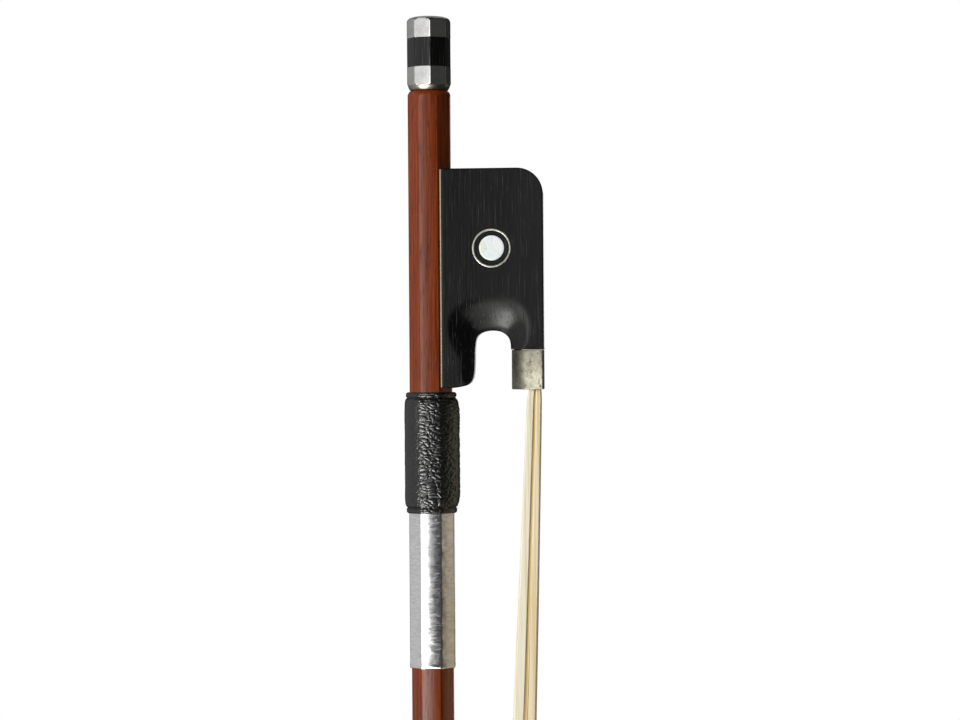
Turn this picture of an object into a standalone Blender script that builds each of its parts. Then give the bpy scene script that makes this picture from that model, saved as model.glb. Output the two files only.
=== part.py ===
"""Viola bow: stick with its head, frog, screw and button, hair, thumb leather and metal lapping.

Metres. +Z runs along the stick towards the button, +X from the stick towards the hair, and the
camera side of the frog faces -Y. The origin is on the stick's axis, half way along the leather.
"""

import math

import bmesh
import bpy
from mathutils import Matrix, Vector

MM = 0.001
GAP = 0.3 * MM

# Stick: sizes across the flats of its octagon, and the arc that bends it towards the hair
STICK_FLATS = 8.9 * MM
STICK_END_Z = 77.1 * MM
END_ROUND = ((4.0, -0.5), (4.2, 0.0), (4.5, 0.45), (4.72, 1.0), (4.9, 1.9))
COVERED_FLATS = 8.4 * MM
BEND_Z = -60.0 * MM
BEND_PER_METRE = 0.218
BEND_LENGTH = 568.0 * MM
TENON_R = 2.55 * MM
TENON_END_Z = 80.0 * MM

# Thumb leather and metal lapping
LEATHER_HALF = 12.9 * MM
LEATHER_FLATS = 11.55 * MM
LAPPING_TOP_Z = -13.2 * MM
LAPPING_LOW_Z = -45.9 * MM
LAPPING_FLATS = 9.42 * MM
SLEEVE_INSIDE = 8.9 * MM

# Head
HEAD_FACE = 20.6 * MM
LINER_FACE = 21.2 * MM
PLATE_FACE = 22.3 * MM
PLATE_GAP = 0.2 * MM
HEAD_REAR = -3.0 * MM
MORTISE_REAR = 3.6 * MM
MORTISE_FRONT = 11.4 * MM
MORTISE_FLOOR = 13.0 * MM

# Frog: x is the distance from the stick's axis
FROG_LOW_Z = 13.8 * MM
FROG_HIGH_Z = 60.35 * MM
FROG_INNER_X = 2.6 * MM
FROG_OUTER_X = 24.25 * MM
FROG_HALF = 5.3 * MM
CHEEK_LEAN = math.atan(1.35 / 21.65)
HEEL_ROUND = 5.6 * MM
FRONT_Z = 21.9 * MM

# Underslide, measured square to the stick's facets
UNDERSLIDE_OFF = 0.25 * MM
UNDERSLIDE_THICK = 0.4 * MM
UNDERSLIDE_TOP_X = 2.35 * MM

# Ferrule: half an ellipse closed by a flat wall
FERRULE_LOW_Z = 13.4 * MM
FERRULE_HIGH_Z = 21.6 * MM
FERRULE_WALL = 0.45 * MM
FERRULE_HALF = 6.7 * MM
FERRULE_DEPTH = 4.2 * MM
FERRULE_MID_X = 21.5 * MM
FERRULE_FLAT_X = 24.2 * MM

# Slide with its pearl, in the hair side of the frog
SLIDE_BACK_X = 22.85 * MM
SLIDE_SPLIT_X = 23.5 * MM
PEARL_BACK_X = 23.7 * MM
SLIDE_HALF = 5.1 * MM
SLIDE_LEAN = 0.38
SLIDE_LOW_Z = 22.2 * MM
SLIDE_HIGH_Z = 54.45 * MM

# Eye
EYE_X = 13.3 * MM
EYE_Z = 43.4 * MM
RING_OUTER = 4.2 * MM
RING_INNER = 3.65 * MM
EYE_PEARL_R = 2.65 * MM
INLAY_DEPTH = 0.9 * MM

# Screw and eyelet
SCREW_R = 1.3 * MM
NIPPLE_R = 0.95 * MM
NIPPLE_TOP_Z = 24.0 * MM
SCREW_LOW_Z = 9.0 * MM
SCREW_TOP_Z = 87.6 * MM
SHANK_SIDE = 2.2 * MM
EYELET_Z = 40.0 * MM
EYELET_R = 2.2 * MM
EYELET_HALF = 2.4 * MM
EYELET_SHANK_R = 1.4 * MM
EYELET_TIP_X = 11.0 * MM
FROG_TRAVEL = 7.0 * MM

# Button: three octagonal pieces and a round collar
BUTTON_FLATS = 8.72 * MM
BUTTON_TURN = math.radians(-15.5)
COLLAR_Z = (77.4 * MM, 78.35 * MM)
FRONT_RING_Z = (78.65 * MM, 82.1 * MM)
CORE_Z = (82.4 * MM, 88.35 * MM)
CAP_Z = (88.65 * MM, 93.15 * MM)
COLLAR_R = 4.12 * MM
CORE_TENON_R = 2.65 * MM

FINISHES = {
    "red_brown_wood": ((0.22, 0.055, 0.025), 0.35, 0.0),
    "ebony": ((0.016, 0.015, 0.014), 0.38, 0.0),
    "nickel_silver": ((0.62, 0.60, 0.54), 0.28, 1.0),
    "lapping_metal": ((0.70, 0.70, 0.69), 0.25, 1.0),
    "brass": ((0.70, 0.52, 0.25), 0.3, 1.0),
    "steel": ((0.50, 0.50, 0.50), 0.3, 1.0),
    "leather": ((0.02, 0.02, 0.022), 0.45, 0.0),
    "pearl": ((0.85, 0.88, 0.84), 0.15, 0.0),
    "bone": ((0.82, 0.77, 0.64), 0.4, 0.0),
    "pale_wood": ((0.62, 0.45, 0.26), 0.6, 0.0),
    "horsehair": ((0.80, 0.72, 0.52), 0.5, 0.0),
    "bound_hair": ((0.40, 0.28, 0.14), 0.6, 0.0),
}


def clear_scene():
    for obj in list(bpy.data.objects):
        bpy.data.objects.remove(obj)


def finish(name):
    """The material of this name, made on first use."""
    found = bpy.data.materials.get(name)
    if found:
        return found
    colour, roughness, metallic = FINISHES[name]
    made = bpy.data.materials.new(name)
    made.use_nodes = True
    shader = made.node_tree.nodes["Principled BSDF"]
    shader.inputs["Base Color"].default_value = (*colour, 1.0)
    shader.inputs["Roughness"].default_value = roughness
    shader.inputs["Metallic"].default_value = metallic
    made.diffuse_color = (*colour, 1.0)
    return made


def solid(name, points, faces, look=None):
    """A mesh object with its faces turned outwards."""
    mesh = bpy.data.meshes.new(name)
    mesh.from_pydata([tuple(p) for p in points], [], faces)
    shape = bmesh.new()
    shape.from_mesh(mesh)
    bmesh.ops.recalc_face_normals(shape, faces=shape.faces)
    shape.to_mesh(mesh)
    shape.free()
    obj = bpy.data.objects.new(name, mesh)
    bpy.context.scene.collection.objects.link(obj)
    if look:
        mesh.materials.append(finish(look))
    return obj


def loft(name, rings, look=None, closed=False):
    """Skins rings of equally many points. The ends are capped, or joined to each other if closed."""
    count = len(rings[0])
    points = [point for ring in rings for point in ring]
    spans = len(rings) if closed else len(rings) - 1
    faces = []
    for i in range(spans):
        low = i * count
        high = (i + 1) % len(rings) * count
        for j in range(count):
            k = (j + 1) % count
            faces.append((low + j, low + k, high + k, high + j))
    if not closed:
        faces.append(tuple(range(count)))
        faces.append(tuple(range(len(points) - count, len(points))))
    return solid(name, points, faces, look)


def disc(radius, z, steps=32, centre=(0.0, 0.0)):
    turns = [2 * math.pi * i / steps for i in range(steps)]
    return [
        (centre[0] + radius * math.cos(a), centre[1] + radius * math.sin(a), z)
        for a in turns
    ]


def rod(name, radius, z0, z1, look=None, steps=32):
    return loft(name, [disc(radius, z0, steps), disc(radius, z1, steps)], look)


def octagon(flats, z, turn=0.0, round_share=0.0, steps=8):
    """A ring round the Z axis. round_share 0 gives sharp corners and 1 gives a circle."""
    ring = []
    for i in range(steps):
        angle = math.pi / 8 + 2 * math.pi * i / steps
        off = (angle + math.pi / 8) % (math.pi / 4) - math.pi / 8
        radius = flats / 2 * (round_share + (1 - round_share) / math.cos(off))
        ring.append((radius * math.cos(angle + turn), radius * math.sin(angle + turn), z))
    return ring


def box(name, low, high, look=None):
    (x0, y0, z0), (x1, y1, z1) = low, high
    rings = [[(x0, y0, z), (x1, y0, z), (x1, y1, z), (x0, y1, z)] for z in (z0, z1)]
    return loft(name, rings, look)


def place(obj, matrix):
    """Moves the mesh itself, so that the object keeps the shared frame."""
    obj.data.transform(matrix)
    obj.data.update()
    return obj


def bake(obj):
    """Replaces the object's mesh by what its modifiers make of it."""
    graph = bpy.context.evaluated_depsgraph_get()
    made = bpy.data.meshes.new_from_object(obj.evaluated_get(graph))
    before = obj.data
    obj.modifiers.clear()
    obj.data = made
    made.name = obj.name
    bpy.data.meshes.remove(before)
    return obj


def combine(obj, others, operation):
    for other in others:
        modifier = obj.modifiers.new(other.name, "BOOLEAN")
        modifier.operation = operation
        modifier.solver = "EXACT"
        modifier.object = other
    bake(obj)
    for other in others:
        bpy.data.objects.remove(other)
    return obj


def cut(obj, *cutters):
    return combine(obj, cutters, "DIFFERENCE")


def join(obj, *others):
    return combine(obj, others, "UNION")


def soften_edges(obj, width, segments=2):
    modifier = obj.modifiers.new("edge", "BEVEL")
    modifier.width = width
    modifier.segments = segments
    modifier.limit_method = "ANGLE"
    modifier.angle_limit = math.radians(40)
    return bake(obj)


def smooth(obj, degrees=32):
    obj.data.shade_smooth()
    obj.data.set_sharp_from_angle(angle=math.radians(degrees))
    return obj


# Stick


def along_bend(length):
    """Point on the stick's axis and its lean, this far along the bend."""
    lean = BEND_PER_METRE * length
    x = (math.cos(lean) - 1) / BEND_PER_METRE
    z = BEND_Z - math.sin(lean) / BEND_PER_METRE
    return Vector((x, 0.0, z)), lean


def bent_octagon(length, flats):
    point, lean = along_bend(length)
    turn = Matrix.Translation(point) @ Matrix.Rotation(lean, 4, "Y")
    return [turn @ Vector(p) for p in octagon(flats, 0.0)]


def stick_flats(share):
    """Across the flats, from the lapping (0) to the head (1)."""
    return (8.74 - 1.2 * share - 1.84 * share * share) * MM


def stick_rings():
    covered_top = LEATHER_HALF + GAP
    covered_low = LAPPING_LOW_Z - GAP
    rings = [
        octagon(STICK_FLATS, STICK_END_Z),
        octagon(STICK_FLATS, covered_top),
        octagon(COVERED_FLATS, covered_top),
        octagon(COVERED_FLATS, covered_low),
        octagon(stick_flats(0.0), covered_low),
    ]
    steps = 26
    for i in range(steps + 1):
        share = i / steps
        rings.append(bent_octagon(BEND_LENGTH * share, stick_flats(share)))
    rings.append(bent_octagon(BEND_LENGTH + 4.5 * MM, 3.6 * MM))
    return rings


def head_frame():
    """Head axes in the shared frame: u runs to the tip, v towards the hair."""
    point, lean = along_bend(BEND_LENGTH)
    u = Vector((-math.sin(lean), 0.0, -math.cos(lean)))
    v = Vector((math.cos(lean), 0.0, -math.sin(lean)))
    rows = zip(u, Vector((0.0, 1.0, 0.0)), v)
    return Matrix.Translation(point) @ Matrix([list(row) for row in rows]).to_4x4()


# Head levels: v, rear u, front u, half width and the share of it at the rear, sizes in millimetres
HEAD_LEVELS = (
    (-2.80, -7.0, 3.0, 1.13, 0.6),
    (-2.20, -7.0, 5.8, 1.75, 0.6),
    (-1.12, -7.0, 8.4, 2.75, 0.6),
    (1.12, -7.0, 10.8, 2.8, 0.6),
    (2.40, -6.6, 11.7, 2.75, 0.42),
    (3.30, -5.0, 12.2, 2.75, 0.46),
    (4.60, -3.3, 12.7, 2.75, 0.55),
    (6.50, -1.9, 13.2, 2.8, 0.62),
    (9.00, -1.1, 13.8, 2.9, 0.66),
    (11.5, -0.9, 14.7, 3.15, 0.68),
    (14.0, -1.1, 15.9, 3.55, 0.7),
    (16.2, -1.5, 17.3, 4.0, 0.72),
    (18.4, -2.2, 19.2, 4.5, 0.74),
    (20.6, -3.0, 22.2, 5.1, 0.76),
)

# Outline of one level: share of its length, share of the way from the rear width to the full one
HEAD_OUTLINE = ((0.0, 0.0), (0.035, 0.5), (0.09, 0.8), (0.18, 1.0), (0.42, 1.0))
HEAD_NOSE = ((0.60, 0.93), (0.76, 0.74), (0.90, 0.38))


def head_ring(v, rear, front, half, rear_share):
    shape = [(f, rear_share + (1 - rear_share) * w) for f, w in HEAD_OUTLINE] + list(HEAD_NOSE)
    side = [(rear + (front - rear) * f, half * w, v) for f, w in shape]
    other = [(u, -y, level) for u, y, level in reversed(side)]
    return side + [(front, 0.0, v)] + other


def head_solid():
    rings = [head_ring(*[size * MM for size in level[:4]], level[4]) for level in HEAD_LEVELS]
    return place(loft("head", rings), head_frame())


def tapered_box(name, lows, highs, look=None):
    """A box whose ends differ: each end is (v, first u, last u, half width)."""
    rings = [
        [(u0, -half, v), (u1, -half, v), (u1, half, v), (u0, half, v)]
        for v, u0, u1, half in (lows, highs)
    ]
    return loft(name, rings, look)


def head_mortise():
    floor = (MORTISE_FLOOR, MORTISE_REAR, MORTISE_FRONT - 1.0 * MM, 2.1 * MM)
    mouth = (HEAD_FACE + 1.0 * MM, MORTISE_REAR, MORTISE_FRONT, 3.1 * MM)
    return place(tapered_box("mortise", floor, mouth), head_frame())


def end_turning():
    """Cutter that rounds off the octagon's button end, as on a lathe."""
    inside = [disc(r * MM, STICK_END_Z - drop * MM, 64) for r, drop in END_ROUND]
    ends = (STICK_END_Z - END_ROUND[-1][1] * MM, STICK_END_Z - END_ROUND[0][1] * MM)
    outside = [disc(8.0 * MM, z, 64) for z in ends]
    return loft("turning", inside + outside, closed=True)


def make_stick():
    stick = cut(loft("stick", stick_rings(), "red_brown_wood"), end_turning())
    join(stick, head_solid(), rod("tenon", TENON_R, STICK_END_Z - 1.0 * MM, TENON_END_Z))
    mortise_low = EYELET_Z - EYELET_HALF - 2.6 * MM
    mortise_high = EYELET_Z + EYELET_HALF + FROG_TRAVEL + 2.6 * MM
    half = EYELET_R + GAP
    cut(
        stick,
        head_mortise(),
        box("slot", (-EYELET_R - 0.5 * MM, -half, mortise_low), (6.0 * MM, half, mortise_high)),
        rod("bore", SCREW_R + GAP, NIPPLE_TOP_Z, TENON_END_Z + 10.0 * MM),
        rod("nipple_bore", NIPPLE_R + GAP, SCREW_LOW_Z - 1.0 * MM, NIPPLE_TOP_Z + 1.0 * MM),
    )
    return stick


# Head plate, liner, knot and plug


def plate_ring(v, grow):
    """The outline of the head's face, a little longer and wider towards the outside."""
    return head_ring(v, HEAD_REAR - 0.1 * grow, 22.3 * MM + grow, 5.15 * MM + 0.2 * grow, 0.77)


def plate_solid(name, low, high, look, grow_low, grow_high):
    made = loft(name, [plate_ring(low, grow_low), plate_ring(high, grow_high)], look)
    opening = (MORTISE_REAR - 0.2 * MM, MORTISE_FRONT + 0.1 * MM, 3.2 * MM)
    cut(made, tapered_box("opening", (low - MM, *opening), (high + MM, *opening)))
    return place(made, head_frame())


def make_head_plates():
    plate_solid("head_plate_liner", HEAD_FACE + PLATE_GAP, LINER_FACE, "ebony", 0.0, 0.2 * MM)
    plate_solid("head_plate", LINER_FACE + PLATE_GAP, PLATE_FACE, "bone", 0.25 * MM, 0.8 * MM)


def knot(name, sections, centre):
    """A bundle tied round its middle: sections are (height, half depth, half width)."""
    rings = []
    for z, a, b in sections:
        ring = []
        for i in range(20):
            turn = 2 * math.pi * i / 20
            c, s = math.cos(turn), math.sin(turn)
            x = a * math.copysign(abs(c) ** 0.6, c)
            y = b * math.copysign(abs(s) ** 0.6, s)
            ring.append((centre + x, y, z))
        rings.append(ring)
    return smooth(loft(name, rings, "bound_hair"))


def make_head_fill():
    sections = [
        (13.35 * MM, 2.6 * MM, 1.3 * MM),
        (13.7 * MM, 3.1 * MM, 1.7 * MM),
        (14.2 * MM, 2.8 * MM, 1.5 * MM),
        (14.7 * MM, 3.1 * MM, 1.7 * MM),
        (15.1 * MM, 2.6 * MM, 1.3 * MM),
    ]
    place(knot("hair_knot_head", sections, 7.2 * MM), head_frame())
    low = (15.4 * MM, 5.7 * MM, 10.3 * MM, 2.0 * MM)
    high = (21.0 * MM, 5.6 * MM, 11.05 * MM, 2.75 * MM)
    place(tapered_box("head_plug", low, high, "pale_wood"), head_frame())


# Hair


def hair_ring(inner, outer, half):
    """Eight points round the ribbon, between two points of its middle plane."""
    inner, outer = Vector(inner), Vector(outer)
    near = inner.lerp(outer, 0.25)
    far = inner.lerp(outer, 0.75)
    stations = ((inner, half * 0.86), (near, half), (far, half), (outer, half * 0.86))
    left = [at + Vector((0.0, -y, 0.0)) for at, y in stations]
    right = [at + Vector((0.0, y, 0.0)) for at, y in reversed(stations)]
    return left + right


# In the frog and ferrule: z, inner x, outer x, half width, in millimetres
HAIR_IN_FROG = (
    (36.7, 21.2, 22.5, 4.2),
    (35.0, 21.2, 22.5, 4.8),
    (22.6, 21.25, 22.5, 4.9),
    (21.3, 21.35, 22.7, 5.1),
    (19.0, 21.35, 23.4, 5.4),
    (14.1, 21.3, 23.45, 5.5),
    (12.9, 20.7, 23.55, 5.55),
    (11.0, 20.35, 23.65, 5.6),
)

# In the head frame: inner u and v, outer u and v, half width, in millimetres
HAIR_IN_HEAD = (
    (-3.6, 22.62, -3.6, 23.95, 3.3),
    (0.5, 22.64, 0.5, 23.95, 3.15),
    (2.9, 22.64, 3.2, 23.8, 2.9),
    (3.75, 22.45, 4.6, 23.3, 2.75),
    (3.95, 21.9, 5.15, 22.2, 2.6),
    (3.95, 15.5, 5.15, 15.5, 1.75),
)
HAIR_SLACK = 22.0 * MM


def hair_edges(share, end_inner, end_outer):
    """Inner x, outer x and half width between the ferrule (0) and the head (1).

    The inner edge is straight. The outer hairs are slack and bow outwards in a parabola.
    """
    _, start_inner, start_outer, start_half = (size * MM for size in HAIR_IN_FROG[-1])
    inner = start_inner + (end_inner - start_inner) * share
    outer = start_outer + (end_outer - start_outer) * share + HAIR_SLACK * share * (1 - share)
    half = start_half + (HAIR_IN_HEAD[0][4] * MM - start_half) * share ** 1.5
    return inner, outer, half


def make_hair():
    rings = []
    for z, inner, outer, half in HAIR_IN_FROG:
        inner_end, outer_end = (inner * MM, 0.0, z * MM), (outer * MM, 0.0, z * MM)
        rings.append(hair_ring(inner_end, outer_end, half * MM))
    in_head = []
    turn = head_frame()
    for u0, v0, u1, v1, half in HAIR_IN_HEAD:
        inner = turn @ Vector((u0 * MM, 0.0, v0 * MM))
        outer = turn @ Vector((u1 * MM, 0.0, v1 * MM))
        in_head.append(hair_ring(inner, outer, half * MM))
    ends = [turn @ Vector((HAIR_IN_HEAD[0][0] * MM, 0.0, v * MM)) for v in HAIR_IN_HEAD[0][1:4:2]]
    start_z = HAIR_IN_FROG[-1][0] * MM
    steps = 34
    for i in range(1, steps):
        share = i / steps
        inner, outer, half = hair_edges(share, ends[0].x, ends[1].x)
        inner_z = start_z + (ends[0].z - start_z) * share
        outer_z = start_z + (ends[1].z - start_z) * share
        rings.append(hair_ring((inner, 0.0, inner_z), (outer, 0.0, outer_z), half))
    smooth(loft("hair_ribbon", rings + in_head, "horsehair"), 50)


# Frog


def cheek(x):
    """Half the frog's width at this distance from the stick's axis."""
    return FROG_HALF + (x - FROG_INNER_X) * math.tan(CHEEK_LEAN)


# Thumb projection and throat, from the stick side to the ferrule: x and z in millimetres
THROAT = (
    (2.6, 13.9), (4.6, 13.8), (6.2, 13.96), (7.55, 14.25), (8.5, 14.8), (9.05, 15.7), (9.35, 17.0),
    (9.48, 19.5), (9.55, 21.8), (9.75, 23.7), (10.15, 24.75), (11.1, 25.5), (12.2, 25.85),
    (13.5, 25.95), (14.85, 25.75), (15.9, 25.25), (16.8, 24.35), (17.15, 23.3), (17.25, 21.9),
)


def frog_profile():
    heel = [
        (
            FROG_OUTER_X - HEEL_ROUND * (1 - math.cos(turn)),
            FROG_HIGH_Z - HEEL_ROUND * (1 - math.sin(turn)),
        )
        for turn in (math.pi / 2 * i / 10 for i in range(11))
    ]
    throat = [(x * MM, z * MM) for x, z in THROAT]
    return throat + [(FROG_OUTER_X, FRONT_Z)] + heel + [(FROG_INNER_X, FROG_HIGH_Z)]


def ferrule_arc(inset, first_x, steps=20):
    """The half ellipse of the ferrule, inset, from one side at first_x round to the other."""
    half, depth = FERRULE_HALF - inset, FERRULE_DEPTH - inset
    start = math.asin(max(-1.0, min(1.0, (FERRULE_MID_X - first_x) / depth)))
    turns = [start + (math.pi - 2 * start) * i / steps for i in range(steps + 1)]
    return [(FERRULE_MID_X - depth * math.sin(t), half * math.cos(t)) for t in turns]


def tongue():
    low, high = FERRULE_LOW_Z + 0.6 * MM, FRONT_Z + 1.5 * MM
    arc = ferrule_arc(FERRULE_WALL + 0.25 * MM, 19.4 * MM)
    return loft("tongue", [[(x, y, z) for x, y in arc] for z in (low, high)])


def throat_hollow(side):
    """A dish that thins the cheek round the throat and runs out gently into it."""
    reach, depth = 9.6 * MM, 1.3 * MM
    rings = []
    for i in range(1, 10):
        share = i / 9
        rise = depth * (1 - (1 - share ** 2) ** 2) + 0.25 * MM * share ** 3
        rings.append(disc(reach * share, rise - depth, 30))
    rings.append(disc(reach, 4.0 * MM, 30))
    return place(loft("hollow", rings), cheek_frame(13.9 * MM, 23.4 * MM, side))


def cheek_frame(x, z, side):
    """Axes on a cheek: local Z points out of it. Side is -1 for the camera's cheek."""
    lean = math.pi / 2 + CHEEK_LEAN
    face = Matrix.Translation((x, side * cheek(x), z))
    return face @ Matrix.Rotation(-side * math.pi / 2, 4, "X") @ Matrix.Rotation(
        -(lean - math.pi / 2), 4, "Y"
    )


def tube(name, inner, outer, z0, z1, look=None, steps=40):
    section = ((inner, z0), (outer, z0), (outer, z1), (inner, z1))
    return loft(name, [disc(radius, z, steps) for radius, z in section], look, closed=True)


def facet_line(offset, x):
    """y on the stick's slanting facet, moved out by offset, at this x."""
    return math.sqrt(2) * (STICK_FLATS / 2 + offset) - x


def stick_channel(offset):
    flat = STICK_FLATS / 2 + offset
    corner = facet_line(offset, flat)
    edge = facet_line(offset, 0.0)
    outline = [(0.0, edge), (flat, corner), (flat, -corner), (0.0, -edge)]
    rings = [[(x, y, z) for x, y in outline] for z in (10 * MM, 64 * MM)]
    return loft("channel", rings)


def dovetail(back, front, low, high, grow, look=None, name="dovetail"):
    def half(x):
        return SLIDE_HALF - (x - SLIDE_BACK_X) * SLIDE_LEAN + grow

    outline = [(back, half(back)), (front, half(front)), (front, -half(front)), (back, -half(back))]
    return loft(name, [[(x, y, z) for x, y in outline] for z in (low, high)], look)


def cross_hole(radius, x0, x1, z):
    """A round cutter or rod along X."""
    made = rod("cross", radius, x0, x1, steps=24)
    return place(made, Matrix.Translation((0, 0, z)) @ Matrix.Rotation(math.pi / 2, 4, "Y"))


PIN_Z = (19.5 * MM, 55.0 * MM)


def eye_pockets(side):
    frame = cheek_frame(EYE_X, EYE_Z, side)
    deep = -INLAY_DEPTH - GAP
    ring = tube("ring_pocket", RING_INNER - GAP, RING_OUTER + GAP, deep, MM)
    pearl = rod("pearl_pocket", EYE_PEARL_R + GAP, deep, MM, steps=40)
    return place(ring, frame), place(pearl, frame)


def make_frog():
    profile = frog_profile()
    rings = [[(x, side * cheek(x), z) for x, z in profile] for side in (-1, 1)]
    frog = loft("frog_block", rings, "ebony")
    soften_edges(frog, 0.28 * MM)
    cut(frog, throat_hollow(-1), throat_hollow(1))
    join(frog, tongue())
    cut(
        frog,
        stick_channel(2 * UNDERSLIDE_OFF + UNDERSLIDE_THICK),
        dovetail(SLIDE_BACK_X - GAP, 26 * MM, FRONT_Z - 3 * MM, SLIDE_HIGH_Z + GAP, GAP),
        box("hair_channel", (20.9 * MM, -5.2 * MM, 20 * MM), (23 * MM, 5.2 * MM, 37 * MM)),
        box("knot_mortise", (16.6 * MM, -4.7 * MM, 30.9 * MM), (23 * MM, 4.7 * MM, 42.6 * MM)),
        cross_hole(EYELET_SHANK_R + GAP, 4 * MM, EYELET_TIP_X + GAP, EYELET_Z),
        *[cross_hole(0.9 * MM, 4 * MM, 8.3 * MM, z) for z in PIN_Z],
        *eye_pockets(-1),
        *eye_pockets(1),
    )
    return smooth(frog, 28)


def make_frog_fill():
    sections = [
        (37.0 * MM, 1.2 * MM, 3.6 * MM),
        (37.6 * MM, 1.9 * MM, 4.2 * MM),
        (38.6 * MM, 1.6 * MM, 3.8 * MM),
        (39.4 * MM, 1.6 * MM, 3.8 * MM),
        (40.4 * MM, 2.0 * MM, 4.3 * MM),
        (41.6 * MM, 1.9 * MM, 4.1 * MM),
        (42.2 * MM, 1.0 * MM, 3.4 * MM),
    ]
    knot("hair_knot_frog", sections, 19.4 * MM)
    plug = [
        [(x0, -y, z), (20.8 * MM, -y, z), (20.8 * MM, y, z), (x0, y, z)]
        for x0, y, z in (
            (16.95 * MM, 4.35 * MM, 31.25 * MM),
            (17.4 * MM, 4.35 * MM, 36.6 * MM),
        )
    ]
    loft("frog_plug", plug, "pale_wood")
    wedge = [
        [(19.7 * MM, -a, z), (21.0 * MM, -b, z), (21.0 * MM, b, z), (19.7 * MM, a, z)]
        for a, b, z in (
            (4.6 * MM, 5.1 * MM, 14.2 * MM),
            (4.6 * MM, 5.1 * MM, 21.3 * MM),
        )
    ]
    loft("ferrule_wedge", wedge, "pale_wood")


def ferrule_outline(inset):
    """Closed outline: the half ellipse, then two rounded corners of the flat wall."""
    arc = ferrule_arc(inset, FERRULE_MID_X)
    flat = FERRULE_FLAT_X - inset
    side = FERRULE_HALF - inset
    r = 0.9 * MM - 0.5 * inset
    turns = [math.pi / 2 * i / 4 for i in range(5)]
    low = [(flat - r * (1 - math.sin(t)), -side + r * (1 - math.cos(t))) for t in turns]
    high = [(x, -y) for x, y in reversed(low)]
    return arc + low + high


def make_ferrule():
    def ring(inset, z):
        return [(x, y, z) for x, y in ferrule_outline(inset)]

    lip = 0.12 * MM
    rings = [
        ring(FERRULE_WALL, FERRULE_LOW_Z),
        ring(lip, FERRULE_LOW_Z),
        ring(0.0, FERRULE_LOW_Z + lip),
        ring(0.0, FERRULE_HIGH_Z - lip),
        ring(lip, FERRULE_HIGH_Z),
        ring(FERRULE_WALL, FERRULE_HIGH_Z),
    ]
    smooth(loft("ferrule", rings, "nickel_silver", closed=True))


def make_underslide():
    near = UNDERSLIDE_OFF
    far = UNDERSLIDE_OFF + UNDERSLIDE_THICK
    flats = [STICK_FLATS / 2 + near, STICK_FLATS / 2 + far]
    top = UNDERSLIDE_TOP_X
    outline = [
        (top, facet_line(near, top)),
        (flats[0], facet_line(near, flats[0])),
        (flats[0], -facet_line(near, flats[0])),
        (top, -facet_line(near, top)),
        (top, -facet_line(far, top)),
        (flats[1], -facet_line(far, flats[1])),
        (flats[1], facet_line(far, flats[1])),
        (top, facet_line(far, top)),
    ]
    low, high = FROG_LOW_Z + 0.15 * MM, FROG_HIGH_Z - 0.1 * MM
    made = loft("underslide", [[(x, y, z) for x, y in outline] for z in (low, high)], "brass")
    cut(
        made,
        cross_hole(EYELET_SHANK_R + GAP, 3 * MM, 7 * MM, EYELET_Z),
        *[cross_hole(0.9 * MM, 3 * MM, 7 * MM, z) for z in PIN_Z],
    )
    for name, z in zip(("underslide_pin_front", "underslide_pin_rear"), PIN_Z):
        pin = rod(name, 0.6 * MM, flats[0] + 0.05 * MM, 8.0 * MM, "brass", steps=20)
        place(pin, Matrix.Translation((0, 0, z)) @ Matrix.Rotation(math.pi / 2, 4, "Y"))
        smooth(pin)


def make_slide():
    dovetail(SLIDE_BACK_X, SLIDE_SPLIT_X, SLIDE_LOW_Z, SLIDE_HIGH_Z, 0.0, "ebony", "slide_base")
    dovetail(
        PEARL_BACK_X, FROG_OUTER_X + 0.02 * MM, SLIDE_LOW_Z, SLIDE_HIGH_Z, 0.0, "pearl", "slide_pearl"
    )


def make_eyes():
    for side, word in ((-1, "near"), (1, "far")):
        frame = cheek_frame(EYE_X, EYE_Z, side)
        proud = 0.04 * MM
        ring = tube(
            f"eye_ring_{word}", RING_INNER, RING_OUTER, -INLAY_DEPTH, proud, "nickel_silver", 56
        )
        smooth(place(ring, frame))
        rings = [
            disc(EYE_PEARL_R, -INLAY_DEPTH, 40),
            disc(EYE_PEARL_R, -0.02 * MM, 40),
            disc(EYE_PEARL_R - 0.3 * MM, proud, 40),
        ]
        smooth(place(loft(f"eye_pearl_{word}", rings, "pearl"), frame))


# Screw, eyelet and button


def make_eyelet():
    eyelet = rod("eyelet", EYELET_R, EYELET_Z - EYELET_HALF, EYELET_Z + EYELET_HALF, "brass")
    soften_edges(eyelet, 0.35 * MM)
    join(eyelet, cross_hole(EYELET_SHANK_R, 1.0 * MM, EYELET_TIP_X, EYELET_Z))
    cut(eyelet, rod("thread", SCREW_R + GAP, EYELET_Z - 6 * MM, EYELET_Z + 6 * MM))
    smooth(eyelet)


def make_screw():
    steps = 28
    rings = [
        disc(NIPPLE_R - 0.35 * MM, SCREW_LOW_Z, steps),
        disc(NIPPLE_R, SCREW_LOW_Z + 0.6 * MM, steps),
        disc(NIPPLE_R, NIPPLE_TOP_Z + 0.3 * MM, steps),
        disc(SCREW_R, NIPPLE_TOP_Z + 0.8 * MM, steps),
        disc(SCREW_R, TENON_END_Z + 1.0 * MM, steps),
    ]
    screw = loft("screw", rings, "steel")
    half = SHANK_SIDE / 2
    join(screw, box("shank", (-half, -half, TENON_END_Z), (half, half, SCREW_TOP_Z)))
    smooth(screw)


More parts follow.
